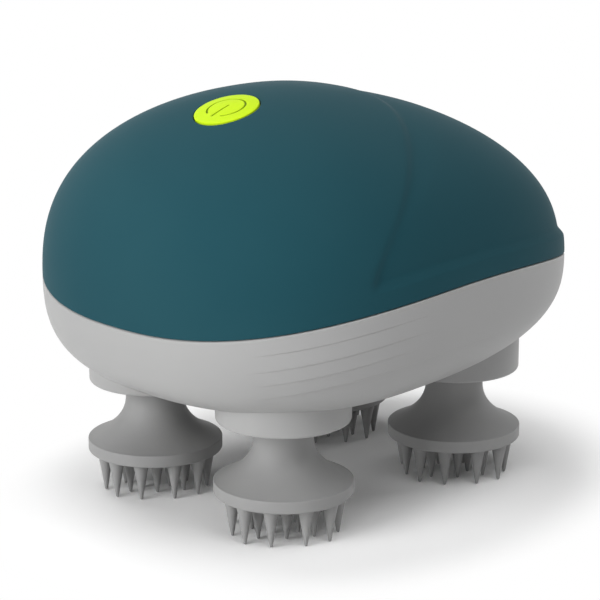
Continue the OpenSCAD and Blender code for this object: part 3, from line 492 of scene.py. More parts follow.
@dataclass
class CasingForm:
    """The skin of the casing: a superellipse seam, a dome above it and a bowl below it.

    Angles are radians. The turn runs round the casing from +X over +Y, and the rise runs from the
    seam, 0, to the crown or the belly, pi / 2.
    """

    half_width: float = 57.5
    nose_reach: float = 57.6
    tail_reach: float = 68.4
    widest_y: float = -5.4
    nose_power: float = 2.38
    tail_power: float = 2.36
    seam_z: float = 61.4
    seam_rise: float = 0.7
    seam_drop: float = 9.0
    seam_span: float = 60.0
    crown_y: float = -8.4
    crown_z: float = 99.5
    belly_y: float = -2.7
    belly_z: float = 28.4
    wall: float = 2.4
    button_y: float = -27.4
    button_tilt: float = 16.6
    recess_depth: float = 1.2
    recess_edge: float = 2.4
    recess_front: float = -31.2
    recess_back: float = 18.8
    recess_low: float = 65.0
    recess_high: float = 98.7
    recess_power: float = 1.4
    recess_shares: Triple = (0.1, 0.42, 0.87)
    recess_fades: Pair = (5.0, 11.0)
    ledge: float = 4.4
    dome_width: Pair = (1.83, 1.73)
    dome_height: Pair = (2.47, 2.1)
    bowl_width: Pair = (4.5, 2.0)
    bowl_height: Pair = (2.74, 2.74)

    @staticmethod
    def power(pair: Pair, turn: Array) -> Array:
        """A power that changes from its value at the nose to its value at the tail."""
        nose = (1 - np.sin(turn)) / 2
        return pair[0] * nose + pair[1] * (1 - nose)

    def seam(self, y: Array) -> Array:
        """Height of the seam: a parabola in y with a slight rise to the rear."""
        v = y / self.seam_span
        return self.seam_z + self.seam_rise * v - self.seam_drop * v * v

    def outline(self, turn: Array, inset: Array) -> tuple[Array, Array]:
        """Seam outline (w |cos|^(2/n), c + l |sin|^(2/n)) with their signs.

        Args:
            turn: angle round the casing.
            inset: how far the outline is moved in, mm.
        Returns:
            x and y of the outline.
        """
        front = np.sin(turn) < 0
        power = 2 / np.where(front, self.nose_power, self.tail_power)
        reach = np.where(front, self.nose_reach, self.tail_reach) - inset
        x = (self.half_width - inset) * signed_power(np.cos(turn), power)
        return x, self.widest_y + reach * signed_power(np.sin(turn), power)

    def ring(self, turn: Array, inset: float, lift: float) -> Array:
        """Ring along the seam's outline, moved in by inset and up by lift, mm."""
        x, y = self.outline(turn, inset)
        return xyz(x, y, self.seam(y) + lift)

    def point(self, turn: Array, rise: Array, inset: Array, centre: float, top: float,
              width: Pair, height: Pair) -> Array:
        """Point between the seam and a pole: plan a = cos(rise)^(2/m), height b = sin(rise)^(2/k).

        Args:
            turn: angle round the casing.
            rise: angle from the seam.
            inset: how far the skin is moved in, mm.
            centre: y of the pole.
            top: z of the pole.
            width: power m at the nose and at the tail.
            height: power k at the nose and at the tail.
        Returns:
            Points, last axis x, y, z.
        """
        x, y = self.outline(turn, inset)
        a = np.cos(rise) ** (2 / self.power(width, turn))
        b = np.sin(rise) ** (2 / self.power(height, turn))
        z = self.seam(y)
        return xyz(x * a, centre + (y - centre) * a, z + (top - z) * b)

    def dome(self, turn: Array, rise: Array, inset: Array) -> Array:
        """Point of the upper half without its recess."""
        centre, top = self.crown_y, self.crown_z - inset
        return self.point(turn, np.clip(rise, 0, np.pi / 2), inset, centre, top,
                          self.dome_width, self.dome_height)

    def bowl(self, turn: Array, rise: Array, inset: Array) -> Array:
        """Point of the lower half."""
        low = self.belly_z + inset
        return self.point(turn, rise, inset, self.belly_y, low, self.bowl_width, self.bowl_height)

    def recess(self, p: Array) -> Array:
        """Depth of the grip recess at a point of the dome.

        In side view its edge is the curve u^k + v^k = 1, where u runs forward and v runs up. A
        smooth step carries the skin in over the edge and again above the ledge. The depth is a
        share that holds everywhere plus the larger of two that fade as 1 / (1 + (d / fade)^2) with
        the distance d from the edge and from the ledge.

        Args:
            p: points, last axis x, y, z.
        Returns:
            Depths, mm.
        """
        span = self.recess_back - self.recess_front
        u = np.maximum(0, (self.recess_back - p[..., 1]) / span)
        v = np.maximum(0, (p[..., 2] - self.recess_low) / (self.recess_high - self.recess_low))
        k = self.recess_power
        inside = (1 - (u**k + v**k) ** (1 / k)) * span
        above = p[..., 2] - self.seam(p[..., 1]) - self.ledge
        step = smooth(inside / self.recess_edge + 1) * smooth(above / self.recess_edge)
        at_edge = 1 / (1 + (np.maximum(0, inside) / self.recess_fades[0]) ** 2)
        at_ledge = 1 / (1 + (np.maximum(0, above) / self.recess_fades[1]) ** 2)
        everywhere, edge, ledge = self.recess_shares
        return self.recess_depth * step * (everywhere + np.maximum(edge * at_edge, ledge * at_ledge))

    def skin(self, turn: Array, rise: Array, inset: float) -> Array:
        """Point of the upper half with its recess."""
        return self.dome(turn, rise, inset + self.recess(self.dome(turn, rise, 0.0)))

    def button_frame(self) -> tuple[Array, Array]:
        """Turn and place of the button's own frame, whose Z leaves the dome.

        Returns:
            A 3 x 3 matrix whose columns are the axes, and the origin on the dome.
        """
        t = np.radians(self.button_tilt)
        turn = np.array([[1, 0, 0], [0, np.cos(t), -np.sin(t)], [0, np.sin(t), np.cos(t)]])
        z = self.dome(*self.find(np.array([0.0]), np.array([self.button_y]), 0.0), 0.0)[0, 2]
        return turn, np.array([0.0, self.button_y, z])

    def find(self, x: Array, y: Array, inset: float) -> tuple[Array, Array]:
        """Turn and rise of the dome above a place in plan.

        The turn is read back from a table of directions as seen from the crown, and the rise from
        the share of the way out to the seam.

        Args:
            x: places across.
            y: places along.
            inset: how far the skin is moved in, mm.
        Returns:
            Turn and rise.
        """
        table = np.linspace(-np.pi, np.pi, 7201)
        tx, ty = self.outline(table, inset)
        way = np.unwrap(np.arctan2(ty - self.crown_y, tx))
        wanted = np.arctan2(y - self.crown_y, x)
        turn = np.interp(way[0] + np.mod(wanted - way[0], 2 * np.pi), way, table)
        ox, oy = self.outline(turn, inset)
        share = np.hypot(x, y - self.crown_y) / np.hypot(ox, oy - self.crown_y)
        return turn, np.arccos(np.clip(share, 0, 1) ** (self.power(self.dome_width, turn) / 2))


@dataclass
class UpperCasing:
    """The teal half: skin, wall, button hole, board posts and screw bosses."""

    form: CasingForm
    hole_r: float = 8.05
    hole_round: float = 0.22
    seam_round: float = 0.3
    seam_gap: float = 0.1
    columns: int = 360
    rows: int = 200
    inner_rows: int = 26
    board_depth: float = 12.0
    posts: tuple[Pair, ...] = ((-12.0, -10.0), (-12.0, 10.0), (12.0, -10.0), (12.0, 10.0))
    post_r: float = 2.4
    post_hole_r: float = 1.03
    boss_r: float = 4.7
    boss_hole_r: float = 1.53
    boss_hole_z: float = 69.9
    boss_span: Pair = (40.0, 110.0)
    core_columns: int = 144
    core_rows: int = 40
    core_crowding: float = 1.3
    post_top: float = 6.0
    post_hole_l: float = 5.5
    sill: float = 14.0
    fit_rounds: int = 14

    def around_hole(self, radius: float, inset: float) -> tuple[Array, Array, Array]:
        """Where a round column about the button's axis meets the skin.

        Each point starts on the plane of the button and moves along the axis by the height that it
        is off the skin, until it lies on it.

        Args:
            radius: radius of the column.
            inset: how far the skin is moved in, mm.
        Returns:
            Turn and rise of the points, and their height along the axis.
        """
        matrix, origin = self.form.button_frame()
        a = turns(self.columns)
        height = np.zeros(self.columns)
        for _ in range(self.fit_rounds):
            p = xyz(radius * np.cos(a), radius * np.sin(a), height) @ matrix.T + origin
            turn, rise = self.form.find(p[:, 0], p[:, 1], inset)
            height = height + (self.form.dome(turn, rise, inset)[:, 2] - p[:, 2]) * matrix[2, 2]
        return turn, rise, height

    def in_button_frame(self, radius: float, height: Array) -> Array:
        """Ring about the button's axis.

        Args:
            radius: its radius.
            height: height of each point along the axis.
        Returns:
            Points in the casing's frame.
        """
        matrix, origin = self.form.button_frame()
        a = turns(self.columns)
        return xyz(radius * np.cos(a), radius * np.sin(a), height) @ matrix.T + origin

    def spread(self, start: tuple[Array, Array], lift: Array, share: Array) -> tuple[Array, Array]:
        """Turn and rise of rows between the hole and the seam.

        The dome is a disc of radius 1 - rise / 90 degrees, and a row is a share of the straight way
        over it from the edge of the hole to the seam.

        Args:
            start: turn and rise at the edge of the hole.
            lift: rise at which the rows end, just above the seam.
            share: share of the way of each row.
        Returns:
            Turn and rise, shape (rows, columns).
        """
        q = 1 - start[1] / (np.pi / 2)
        a = turns(self.columns)
        end = 1 - lift / (np.pi / 2)
        s = share[:, None]
        px = q * np.cos(start[0]) * (1 - s) + end * np.cos(a) * s
        py = q * np.sin(start[0]) * (1 - s) + end * np.sin(a) * s
        return np.arctan2(py, px), (1 - np.hypot(px, py)) * np.pi / 2

    def shell(self) -> Surface:
        """The closed wall: hole edge, skin, rounded seam edge, inner face and back to the hole.

        Returns:
            The surface, whose rows run once round the section of the wall.
        """
        form, f = self.form, self.seam_round
        a = turns(self.columns)
        rows = []
        inner_turn, inner_rise, inner_height = self.around_hole(self.hole_r, form.wall)
        edge = self.around_hole(self.hole_r + self.hole_round, 0.0)
        for b in np.radians(np.linspace(90, 0, 6)[:-1]):
            radius = self.hole_r + self.hole_round * (1 - np.sin(b))
            rows.append(self.in_button_frame(radius, edge[2] - self.hole_round * (1 - np.cos(b))))
        tall = form.crown_z - form.seam(form.outline(a, 0.0)[1])
        lift = np.arcsin(((self.seam_gap + f) / tall) ** (form.power(form.dome_height, a) / 2))
        turn, rise = self.spread(edge[:2], lift, np.linspace(0, 1, self.rows))
        skin = form.skin(turn, rise, 0.0)
        for b in np.radians([22.5, 45, 67.5, 90]):
            rows.append(form.ring(a, f * (1 - np.cos(b)), self.seam_gap + f * (1 - np.sin(b))))
        rim = form.ring(a, form.wall, self.seam_gap)
        turn, rise = self.spread((inner_turn, inner_rise), lift, np.linspace(1, 0, self.inner_rows))
        inner = form.skin(turn, rise, form.wall)
        inner[-1] = self.in_button_frame(self.hole_r, inner_height)
        rings = np.concatenate([np.array(rows[:5]), skin, np.array(rows[5:]), [rim], inner])
        return Surface(rings.reshape(-1, 3), grid_quads(len(rings), self.columns, loop=True))

    def core(self) -> Surface:
        """The dome down to the middle of the wall, which trims the bosses.

        Returns:
            The closed surface.
        """
        a = turns(self.core_columns)[None, :]
        rise = (np.linspace(0, 1, self.core_rows)[:-1] ** self.core_crowding * np.pi / 2)[:, None]
        inset = self.form.wall / 2
        rings = self.form.skin(a, rise, inset)
        rings[0, :, 2] += self.seam_gap
        sill = self.form.ring(a, self.sill, self.seam_gap)
        crown = np.array([0, self.form.crown_y, self.form.crown_z - inset])
        low = np.array([0, self.form.belly_y, self.form.seam(self.form.belly_y) + self.seam_gap])
        return capped(np.concatenate([sill, rings]), low, crown)

    def build(self) -> Object:
        """Makes the half and dresses it.

        Returns:
            The finished piece.
        """
        low = -self.board_depth
        post = column(self.post_r, low, self.post_top, 36)
        hole = column(self.post_hole_r, low - 1, low + self.post_hole_l, 24)
        posts, holes = ([s.placed(*self.form.button_frame()) for s in copies(solid, self.posts)]
                        for solid in (post, hole))
        bosses = copies(column(self.boss_r, *self.boss_span, 48), CASE_SCREWS)
        pilots = copies(column(self.boss_hole_r, self.boss_span[0], self.boss_hole_z, 32), CASE_SCREWS)
        inner = merged(posts + bosses).to_object("bosses")
        combine(inner, self.core(), Join.KEEP)
        shell = self.shell().to_object("upper_casing")
        combine(shell, inner, Join.ADD)
        combine(shell, merged(holes + pilots), Join.CUT)
        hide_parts("top_shell")
        dress(shell, TEAL, "housing")
        return shell


@dataclass
class LowerCasing:
    """The grey half: bowl with shallow grip lines, four collars, bosses and wells."""

    form: CasingForm
    seam_round: float = 0.35
    seam_gap: float = 0.1
    columns: int = 360
    rows: int = 60
    plain_columns: int = 144
    lid: float = 5.0
    rim_fade: float = 3.0
    hollow_rim: float = 6.0
    collar_r: float = 15.9
    collar_z: float = 27.1
    collar_top: float = 41.0
    collar_wall: float = 2.0
    collar_round: float = 0.7
    boss_r: float = 9.0
    seal_r: float = 7.03
    seal_top: float = 30.1
    bush_floor: float = 31.0
    bush_r: float = 5.53
    shaft_room_r: float = 3.5
    plate_z: float = 37.5
    spacers: tuple[Pair, ...] = ((-34.0, -16.4), (-34.0, 14.0), (34.0, -16.4), (34.0, 14.0))
    spacer_r: float = 3.5
    spacer_hole_r: float = 1.53
    spacer_hole_z: float = 33.5
    screw_boss_r: float = 4.7
    well_r: float = 3.0
    well_z: float = 42.4
    screw_hole_r: float = 1.8
    contacts: tuple[Pair, ...] = ((-10.0, -46.0), (10.0, -46.0))
    contact_hole_r: float = 2.03
    line_drop: tuple[float, ...] = (3.9, 7.9, 11.4, 15.0)
    line_start: tuple[float, ...] = (-56.0, -58.0, -56.0, -55.0)
    line_end: tuple[float, ...] = (-6.0, -6.0, -11.0, 14.0)
    line_depth: float = 0.18
    line_width: float = 0.26
    line_band: float = 3.4
    line_fade: Pair = (9.0, 14.0)
    line_rows: int = 7
    line_margin: float = 0.07
    row_step: float = 0.55
    row_reach: float = 17.0
    row_gap: float = 0.12
    row_crowding: float = 0.75
    plain_rows: int = 61
    plain_crowding: float = 1.6
    screw_hole_top: float = 80.0

    def grip_lines(self, turn: Array, drop: Array) -> Array:
        """Depth of the shallow grip lines on both flanks of the nose.

        At each line the skin steps in by line_depth over line_width, and comes back out evenly over
        line_band. Each line fades out at both ends.

        Args:
            turn: angle round the casing.
            drop: how far below the seam a point lies, mm.
        Returns:
            How far the skin is moved in, mm.
        """
        side = np.degrees(np.arctan2(np.sin(turn), np.abs(np.cos(turn))))
        inset = np.zeros(np.broadcast_shapes(turn.shape, drop.shape))
        for line, start, end in zip(self.line_drop, self.line_start, self.line_end):
            near = smooth((side - start) / self.line_fade[0]) * smooth((end - side) / self.line_fade[1])
            step = smooth((drop - line) / self.line_width)
            back = np.clip((line + self.line_band - drop) / self.line_band, 0, 1)
            inset = inset + self.line_depth * near * step * back
        return inset

    def row_shares(self, turn: Array) -> Array:
        """Share of the height from the seam to the belly at which each row of the bowl lies.

        Near the seam the rows keep their distance in mm, and crowd at the grip lines; below that
        they spread evenly in angle to the belly.

        Args:
            turn: angle round the casing, shape (1, columns).
        Returns:
            Shares, shape (rows, columns).
        """
        coarse = np.arange(self.seam_round + self.seam_gap, self.row_reach, self.row_step)
        across = np.linspace(-self.line_margin, self.line_width + self.line_margin, self.line_rows)
        fine = np.add.outer(np.array(self.line_drop), across).ravel()
        far = np.abs(coarse[:, None] - fine[None, :]).min(axis=1) > self.row_gap
        drop = np.sort(np.concatenate([coarse[far], fine]))[:, None]
        y = self.form.outline(turn, 0.0)[1]
        top = drop / (self.form.seam(y) - self.form.belly_z)
        half = self.form.bowl_height[0] / 2
        start = np.arcsin(top[-1:] ** half)
        share = np.linspace(0, 1, self.rows + 2)[1:-1, None] ** self.row_crowding
        rise = start + (np.pi / 2 - start) * share
        return np.concatenate([top, np.sin(rise) ** (1 / half)])

    def bowl(self, inset: float, rim: float, plain: bool) -> Surface:
        """Closed bowl.

        Args:
            inset: how far the skin is moved in, mm.
            rim: height of the rim above the seam, mm.
            plain: whether the rim's rounding and the grip lines are left out.
        Returns:
            The closed surface, with a lid across its rim.
        """
        form, f = self.form, self.seam_round
        a = turns(self.plain_columns if plain else self.columns)[None, :]
        if plain:
            left = 1 - np.linspace(0, 1, self.plain_rows)[1:-1]
            rise = ((1 - left ** self.plain_crowding) * np.pi / 2)[:, None]
            body = form.bowl(a, rise, inset)
            edges = [form.ring(a, inset, rim), form.ring(a, inset, 0.0)]
        else:
            rise = np.arcsin(self.row_shares(a) ** (form.bowl_height[0] / 2))
            drop = form.seam(form.outline(a, 0.0)[1]) - form.bowl(a, rise, 0.0)[..., 2]
            body = form.bowl(a, rise, self.grip_lines(a, drop))
            body[..., 2] -= (f + self.seam_gap) * (1 - smooth(drop / self.rim_fade))
            edges = [form.ring(a, f * (1 - np.cos(b)), rim - f * (1 - np.sin(b)))
                     for b in np.radians([90, 67.5, 45, 22.5, 0])]
        sill = form.ring(a, inset + self.lid, rim)
        rings = np.concatenate([sill, *edges, body])
        low = np.array([0, form.belly_y, form.belly_z + inset])
        middle = np.array([0, form.belly_y, form.seam(form.belly_y) + rim])
        return capped(rings, middle, low)

    def cavity(self) -> Object:
        """The hollow inside: the inner bowl and the collars' rooms, less the bosses.

        Returns:
            The hollow as an object.
        """
        form = self.form
        hollow = self.bowl(form.wall, self.hollow_rim, True).to_object("hollow")
        room = column(self.collar_r - self.collar_wall, self.collar_z + form.wall, self.collar_top - 0.5)
        combine(hollow, merged(copies(room, HEAD_AXES.values())), Join.ADD)
        bosses = copies(column(self.boss_r, self.collar_z, self.plate_z), HEAD_AXES.values())
        bosses += copies(column(self.spacer_r, form.belly_z, self.plate_z, 48), self.spacers)
        combine(hollow, merged(bosses), Join.CUT)
        bosses = [self.screw_boss(x, y) for x, y in CASE_SCREWS]
        combine(hollow, merged(bosses), Join.CUT)
        return hollow

    def screw_boss(self, x: float, y: float) -> Surface:
        """A boss that ends at the seam's height above its own place."""
        top = float(self.form.seam(np.array(y))) - self.seam_gap
        return column(self.screw_boss_r, self.form.belly_z, top, 48).moved(x, y)

    def cuts(self) -> list[Surface]:
        """Seats for seals, bushes and shafts, screw holes, wells and contact holes.

        Returns:
            The solids that are cut away.
        """
        z, top = self.collar_z, self.plate_z + 1
        mouth = self.seal_r + 0.5
        seat = revolve([(0, z - 1), (mouth, z - 1), (mouth, z), (self.seal_r, z + 0.5),
                        (self.seal_r, self.seal_top), (self.shaft_room_r, self.seal_top),
                        (self.shaft_room_r, self.bush_floor), (self.bush_r, self.bush_floor),
                        (self.bush_r, top), (0, top)])
        cuts = copies(seat, HEAD_AXES.values())
        cuts += copies(column(self.spacer_hole_r, self.spacer_hole_z, top, 32), self.spacers)
        well = revolve([(0, 0), (self.well_r, 0), (self.well_r, self.well_z),
                        (self.screw_hole_r, self.well_z), (self.screw_hole_r, self.screw_hole_top),
                        (0, self.screw_hole_top)], 48)
        cuts += copies(well, CASE_SCREWS)
        return cuts + copies(column(self.contact_hole_r, 0, 40, 40), self.contacts)

    def build(self) -> Object:
        """Makes the half and dresses it.

        Returns:
            The finished piece.
        """
        shell = self.bowl(0.0, -self.seam_gap, False).to_object("lower_casing")
        r, z, f = self.collar_r, self.collar_z, self.collar_round
        collar = revolve([(0, z), (r - f - 3, z), *arc((r - f, z + f), f, -90, 0, 7),
                          (r, self.collar_top), (0, self.collar_top)], 128)
        combine(shell, merged(copies(collar, HEAD_AXES.values())), Join.ADD)
        combine(shell, self.cavity(), Join.CUT)
        combine(shell, merged(self.cuts()), Join.CUT)
        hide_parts("bottom_shell")
        dress(shell, GREY, "housing")
        return shell


# ------------------------------------------------------------------ power button

@dataclass
class PowerButton:
    """The lime cap with its engraved power mark, flange and stem."""

    form: CasingForm
    radius: float = 7.8
    crown: float = 0.45
    fall: float = 0.55
    edge_round: float = 0.18
    flange_z: float = -3.4
    flange_low: float = -4.1
    flange_r: float = 9.1
    stem_r: float = 2.0
    stem_z: float = -8.0
    mark_r: float = 4.6
    mark_w: float = 0.4
    mark_depth: float = 0.3
    mark_start: float = 0.9
    mark_opening: float = 30.0
    mark_edge: float = 0.08
    columns: int = 360

    def mark(self, x: Array, y: Array) -> Array:
        """Depth of the engraving: a groove about an open ring and a bar that runs to the nose.

        The groove is as deep as a smooth step of the distance from its middle line.

        Args:
            x: places across the cap.
            y: places along the cap.
        Returns:
            Depths, mm.
        """
        angle = np.degrees(np.arctan2(x, -y))
        limit = np.radians(np.clip(np.abs(angle), self.mark_opening, 180)) * np.sign(angle)
        ring = np.hypot(x - self.mark_r * np.sin(limit), y + self.mark_r * np.cos(limit))
        bar_y = np.clip(y, -self.mark_r - self.mark_w / 2, self.mark_start)
        bar = np.hypot(x, y - bar_y)
        near = np.minimum(ring, bar)
        step = (near - self.mark_w / 2 + self.mark_edge) / (2 * self.mark_edge)
        return self.mark_depth * (1 - smooth(step))

    def surface(self) -> tuple[Surface, Array]:
        """The cap, turned about its axis, with the mark pressed into its crown.

        Returns:
            The closed surface in the casing's frame, and how far each point lies in the groove.
        """
        r, f = self.radius, self.edge_round
        m = self.mark_r
        bands = [(0.06, m - 0.4, 52), (m - 0.36, m + 0.5, 24), (m + 0.6, r - f, 18)]
        radii = np.concatenate([np.linspace(*band) for band in bands])
        profile = [(s, self.crown - self.fall * (s / r) ** 2) for s in radii]
        edge_z = self.crown - self.fall
        profile += arc((r - f, edge_z - f), f, 75, 0, 5)
        profile += [(r, self.flange_z), (self.flange_r, self.flange_z), (self.flange_r, self.flange_low),
                    (self.stem_r, self.flange_low), (self.stem_r, self.stem_z)]
        solid = revolve([(0, self.crown), *profile, (0, self.stem_z)], self.columns)
        p = solid.points
        top = (np.hypot(p[:, 0], p[:, 1]) < r - f) & (p[:, 2] > -1)
        groove = np.zeros(len(p))
        groove[top] = self.mark(p[top, 0], p[top, 1])
        p[:, 2] -= groove
        return solid.placed(*self.form.button_frame()), groove / self.mark_depth

    def build(self) -> Object:
        """Makes the button and dresses it.

        Returns:
            The finished piece.
        """
        surface, groove = self.surface()
        cap = surface.to_object("power_cap")
        # The groove attribute also masks the painted shade of the lime finish.
        cap.data.attributes.new("groove", "FLOAT", "POINT").data.foreach_set("value", groove)
        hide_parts("power_button")
        dress(cap, LIME, "button", sharp=40)
        return cap


# ------------------------------------------------------------------ heads

@dataclass
class Head:
    """A soft head: a flared skirt with a rim, four rows of teeth, and three more between each two."""

    corner: str
    rim_r: float = 16.5
    rim_low: float = 9.3
    rim_top: float = 12.4
    top_round: float = 0.3
    low_round: float = 0.45
    neck_r: float = 7.1
    neck_top: float = 26.7
    neck_round: float = 0.3
    neck_low: float = 25.5
    flare_top: float = 22.8
    flare_pull: tuple[Pair, Pair] = ((0.0, -5.1), (-4.9, 2.0))
    hub_r: float = 5.13
    hub_flange_r: float = 11.53
    hub_floor: float = 10.97
    hub_flange_top: float = 12.63
    row_inset: float = 2.6
    row_pitch: float = 4.7
    single_r: float = 7.5
    pair_inset: float = 3.5
    pair_angle: float = 36.0
    row_turn: float = 5.5
    tip_r: float = 0.4
    root_r: float = 1.85
    root_flare: float = 0.2
    root_sink: float = 1.2

    def flare(self) -> list[Pair]:
        """Profile from the neck out to the rim: a cubic curve with its tangents at the ends.

        Returns:
            Corners (radius, height).
        """
        t = np.linspace(0, 1, 34)[:, None]
        start = np.array([self.neck_r, self.flare_top])
        end = np.array([self.rim_r - self.top_round, self.rim_top])
        a, b = start + self.flare_pull[0], end + self.flare_pull[1]
        path = (1 - t) ** 3 * start + 3 * (1 - t) ** 2 * t * a + 3 * (1 - t) * t * t * b + t**3 * end
        return [tuple(p) for p in path]

    def body(self) -> Surface:
        """The turned body with the room for its stiff hub.

        Returns:
            The closed surface about the head's own axis.
        """
        r, low, f, g = self.rim_r, self.rim_low, self.top_round, self.low_round
        profile = [(0, low), (6, low), (12, low), *arc((r - g, low + g), g, -90, 0, 8)]
        profile += arc((r - f, self.rim_top - f), f, 0, 90, 6)
        profile += self.flare()[::-1][1:]
        n = self.neck_round
        profile += [(self.neck_r, self.neck_low), *arc((self.neck_r - n, self.neck_top - n), n, 0, 90, 4)]
        profile += [(self.hub_r, self.neck_top), (self.hub_r, self.hub_flange_top)]
        profile += [(self.hub_flange_r, self.hub_flange_top), (self.hub_flange_r, self.hub_floor)]
        return revolve([*profile, (0, self.hub_floor)], 144)

    def tooth(self) -> Surface:
        """One tooth on its tip: radius tip + (root - tip) h + flare h^6 up its length, a round tip below.

        Returns:
            The closed surface about its own axis, its tip on the table.
        """
        h = np.linspace(0.05, 1, 20)
        radius = self.tip_r + (self.root_r - self.tip_r) * h + self.root_flare * h**6
        height = self.tip_r + (self.rim_low - self.tip_r) * h
        top = self.rim_low + self.root_sink
        tip = arc((0.0, self.tip_r), self.tip_r, -78, -6, 7)
        return revolve([(0, 0), *tip, *zip(radius, height), (radius[-1], top), (0, top)], 28)

    def teeth(self) -> Surface:
        """All teeth of the head: rows of three, and a single tooth and a pair between two rows.

        Returns:
            The closed surfaces about the head's own axis.
        """
        quarter = [(self.rim_r - self.row_inset - k * self.row_pitch, 0.0) for k in range(3)]
        quarter += [(self.single_r, 45.0)]
        quarter += [(self.rim_r - self.pair_inset, 45.0 + side * self.pair_angle / 2) for side in (-1, 1)]
        tooth, made = self.tooth(), []
        for first in range(0, 360, 90):
            for radius, turn in quarter:
                t = np.radians(self.row_turn + first + turn)
                made.append(tooth.moved(radius * np.cos(t), radius * np.sin(t)))
        return merged(made)

    def build(self) -> Object:
        """Makes the head and dresses it.

        Returns:
            The finished piece.
        """
        x, y = HEAD_AXES[self.corner]
        head = self.body().moved(x, y).to_object("soft_head_" + self.corner)
        combine(head, self.teeth().moved(x, y), Join.ADD)
        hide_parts("massage_head_" + self.corner)
        dress(head, SILICONE, "head_" + self.corner, sharp=38)
        return head


# ------------------------------------------------------------------ inner works

@dataclass
class InnerWorks:
    """The frame's own pieces that stay as they are and get their finish by their slot."""

    replaced: tuple[str, ...] = ("top_shell", "bottom_shell", "power_button", "massage_head_")

    def dress(self) -> None:
        """Gives each remaining node the finish of its slot."""
        for name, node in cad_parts.items():
            if name.startswith(self.replaced):
                continue
            for slot in node.material_slots:
                slot.material = SLOT_FINISHES[slot.material.name.split(".")[0]].build()
            log.info("%s: finish %s", name, node.material_slots[0].material.name)


# ------------------------------------------------------------------ studio

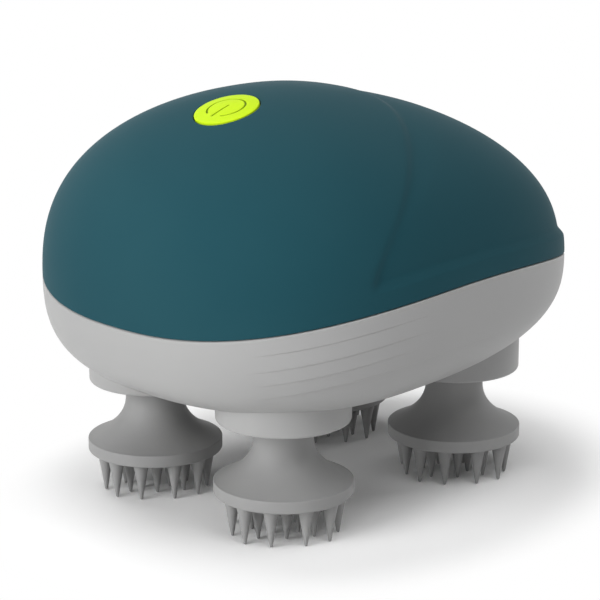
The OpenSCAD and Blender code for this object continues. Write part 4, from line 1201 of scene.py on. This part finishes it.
@dataclass
class Studio:
    """Pale floor, soft lamps, white surroundings and the camera."""

    camera_place: Triple = (388.62, -392.54, 196.02)
    azimuth: float = 44.95
    elevation: float = 15.28
    lens: float = 139.8
    floor_half: float = 4.0
    fade: Pair = (0.068, 0.094)
    fade_squeeze: float = 1.3
    fade_centre: float = 0.005
    ambient: float = 0.1
    lamp_size: float = 0.9
    lamp_reach: float = 1.5
    lamp_aim: Triple = (0.0, 0.0, 0.05)
    lamps: tuple[tuple[str, float, float, float], ...] = (
        ("front_low", -100, 15, 16.7), ("front_high", -75, 35, 5.6), ("right_high", -10, 60, 9.5),
        ("left_high", 180, 60, 8.6), ("rear_low", 70, 15, 4.5))

    def seen(self, tree: NodeTree) -> NodeSocket:
        """1 for camera, glossy and transmission rays, which see the white surroundings.

        Args:
            tree: node tree that it goes into.
        Returns:
            The socket.
        """
        rays = add_node(tree, "LightPath").outputs
        total = rays["Is Camera Ray"]
        for name in ("Is Glossy Ray", "Is Transmission Ray"):
            total = add_node(tree, "Math", {0: total, 1: rays[name]}, operation="MAXIMUM").outputs["Value"]
        return total

    def surroundings(self) -> None:
        """White world to the eye and to gloss, soft grey light to everything else."""
        world = bpy.data.worlds.new("studio")
        world.use_nodes = True
        bpy.context.scene.world = world
        tree = world.node_tree
        background = tree.nodes["Background"]
        background.inputs["Color"].default_value = (1.0, 1.0, 1.0, 1.0)
        values = {"Value": self.seen(tree), "To Min": self.ambient, "To Max": 1.0}
        strength = add_node(tree, "MapRange", values).outputs["Result"]
        tree.links.new(strength, background.inputs["Strength"])

    def floor(self) -> Object:
        """Pale floor that takes the shadow near the object and fades to white.

        Returns:
            The floor.
        """
        half, squeeze = self.floor_half, self.fade_squeeze
        mesh = bpy.data.meshes.new("floor")
        mesh.from_pydata([(-half, -half, 0), (half, -half, 0), (half, half, 0), (-half, half, 0)], [],
                         [(0, 1, 2, 3)])
        made = new_object("floor", mesh)
        paint = bpy.data.materials.new("pale_floor")
        paint.use_nodes = True
        tree = paint.node_tree
        tree.nodes.remove(tree.nodes["Principled BSDF"])
        place = add_node(tree, "TexCoord").outputs["Object"]
        centred = add_node(tree, "Mapping", {"Vector": place, "Scale": (squeeze, 1.0, 1.0),
                                             "Location": (-squeeze * self.fade_centre, 0.0, 0.0)})
        reach = add_node(tree, "VectorMath", {0: centred.outputs["Vector"]}, operation="LENGTH")
        values = {"Value": reach.outputs["Value"], "From Min": self.fade[0], "From Max": self.fade[1]}
        far = add_node(tree, "MapRange", values, interpolation_type="SMOOTHSTEP").outputs["Result"]
        share = add_node(tree, "Math", {0: far, 1: self.seen(tree)}, operation="MULTIPLY").outputs["Value"]
        matte = add_node(tree, "BsdfDiffuse", {"Color": (0.96, 0.96, 0.96, 1.0)}).outputs["BSDF"]
        white = add_node(tree, "Emission").outputs["Emission"]
        blend = add_node(tree, "MixShader", {0: share, 1: matte, 2: white}).outputs["Shader"]
        tree.links.new(blend, tree.nodes["Material Output"].inputs["Surface"])
        mesh.materials.append(paint)
        return made

    def lamp(self, name: str, azimuth: float, elevation: float, power: float) -> None:
        """Adds a square soft lamp that faces the object.

        Args:
            name: name of the lamp.
            azimuth: degrees from +X towards +Y at which it stands.
            elevation: degrees above the floor.
            power: watts.
        """
        light = bpy.data.lights.new(name, "AREA")
        light.size = self.lamp_size
        light.energy = power
        way = direction(azimuth, elevation)
        place = Vector(self.lamp_aim) + self.lamp_reach * way
        turn = way.to_track_quat("Z", "Y").to_matrix().to_4x4()
        new_object(name, light).matrix_world = Matrix.Translation(place) @ turn

    def camera(self) -> None:
        """The camera at the photograph's angle, which counts from the nose and not from +X."""
        data = bpy.data.cameras.new("camera")
        data.lens = self.lens
        data.sensor_width = 36.0
        data.clip_start = 0.01
        made = new_object("camera", data)
        back = direction(self.azimuth - 90, self.elevation)
        right = direction(self.azimuth, 0)
        up = back.cross(right)
        turn = Matrix((right, up, back)).transposed().to_4x4()
        made.matrix_world = Matrix.Translation(Vector(self.camera_place) * MM) @ turn
        bpy.context.scene.camera = made

    def build(self) -> None:
        """Sets up the whole studio."""
        bpy.context.scene.view_settings.view_transform = "Standard"
        self.surroundings()
        self.floor()
        for lamp in self.lamps:
            self.lamp(*lamp)
        self.camera()
        log.info("studio: floor, lamps and camera")


def main() -> None:
    """Builds the studio and every piece."""
    logging.basicConfig(level=logging.INFO, format="%(name)s %(message)s")
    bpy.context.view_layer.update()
    Studio().build()
    form = CasingForm()
    UpperCasing(form).build()
    LowerCasing(form).build()
    PowerButton(form).build()
    for corner in HEAD_AXES:
        Head(corner).build()
    InnerWorks().dress()
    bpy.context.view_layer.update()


if __name__ == "__main__":
    main()
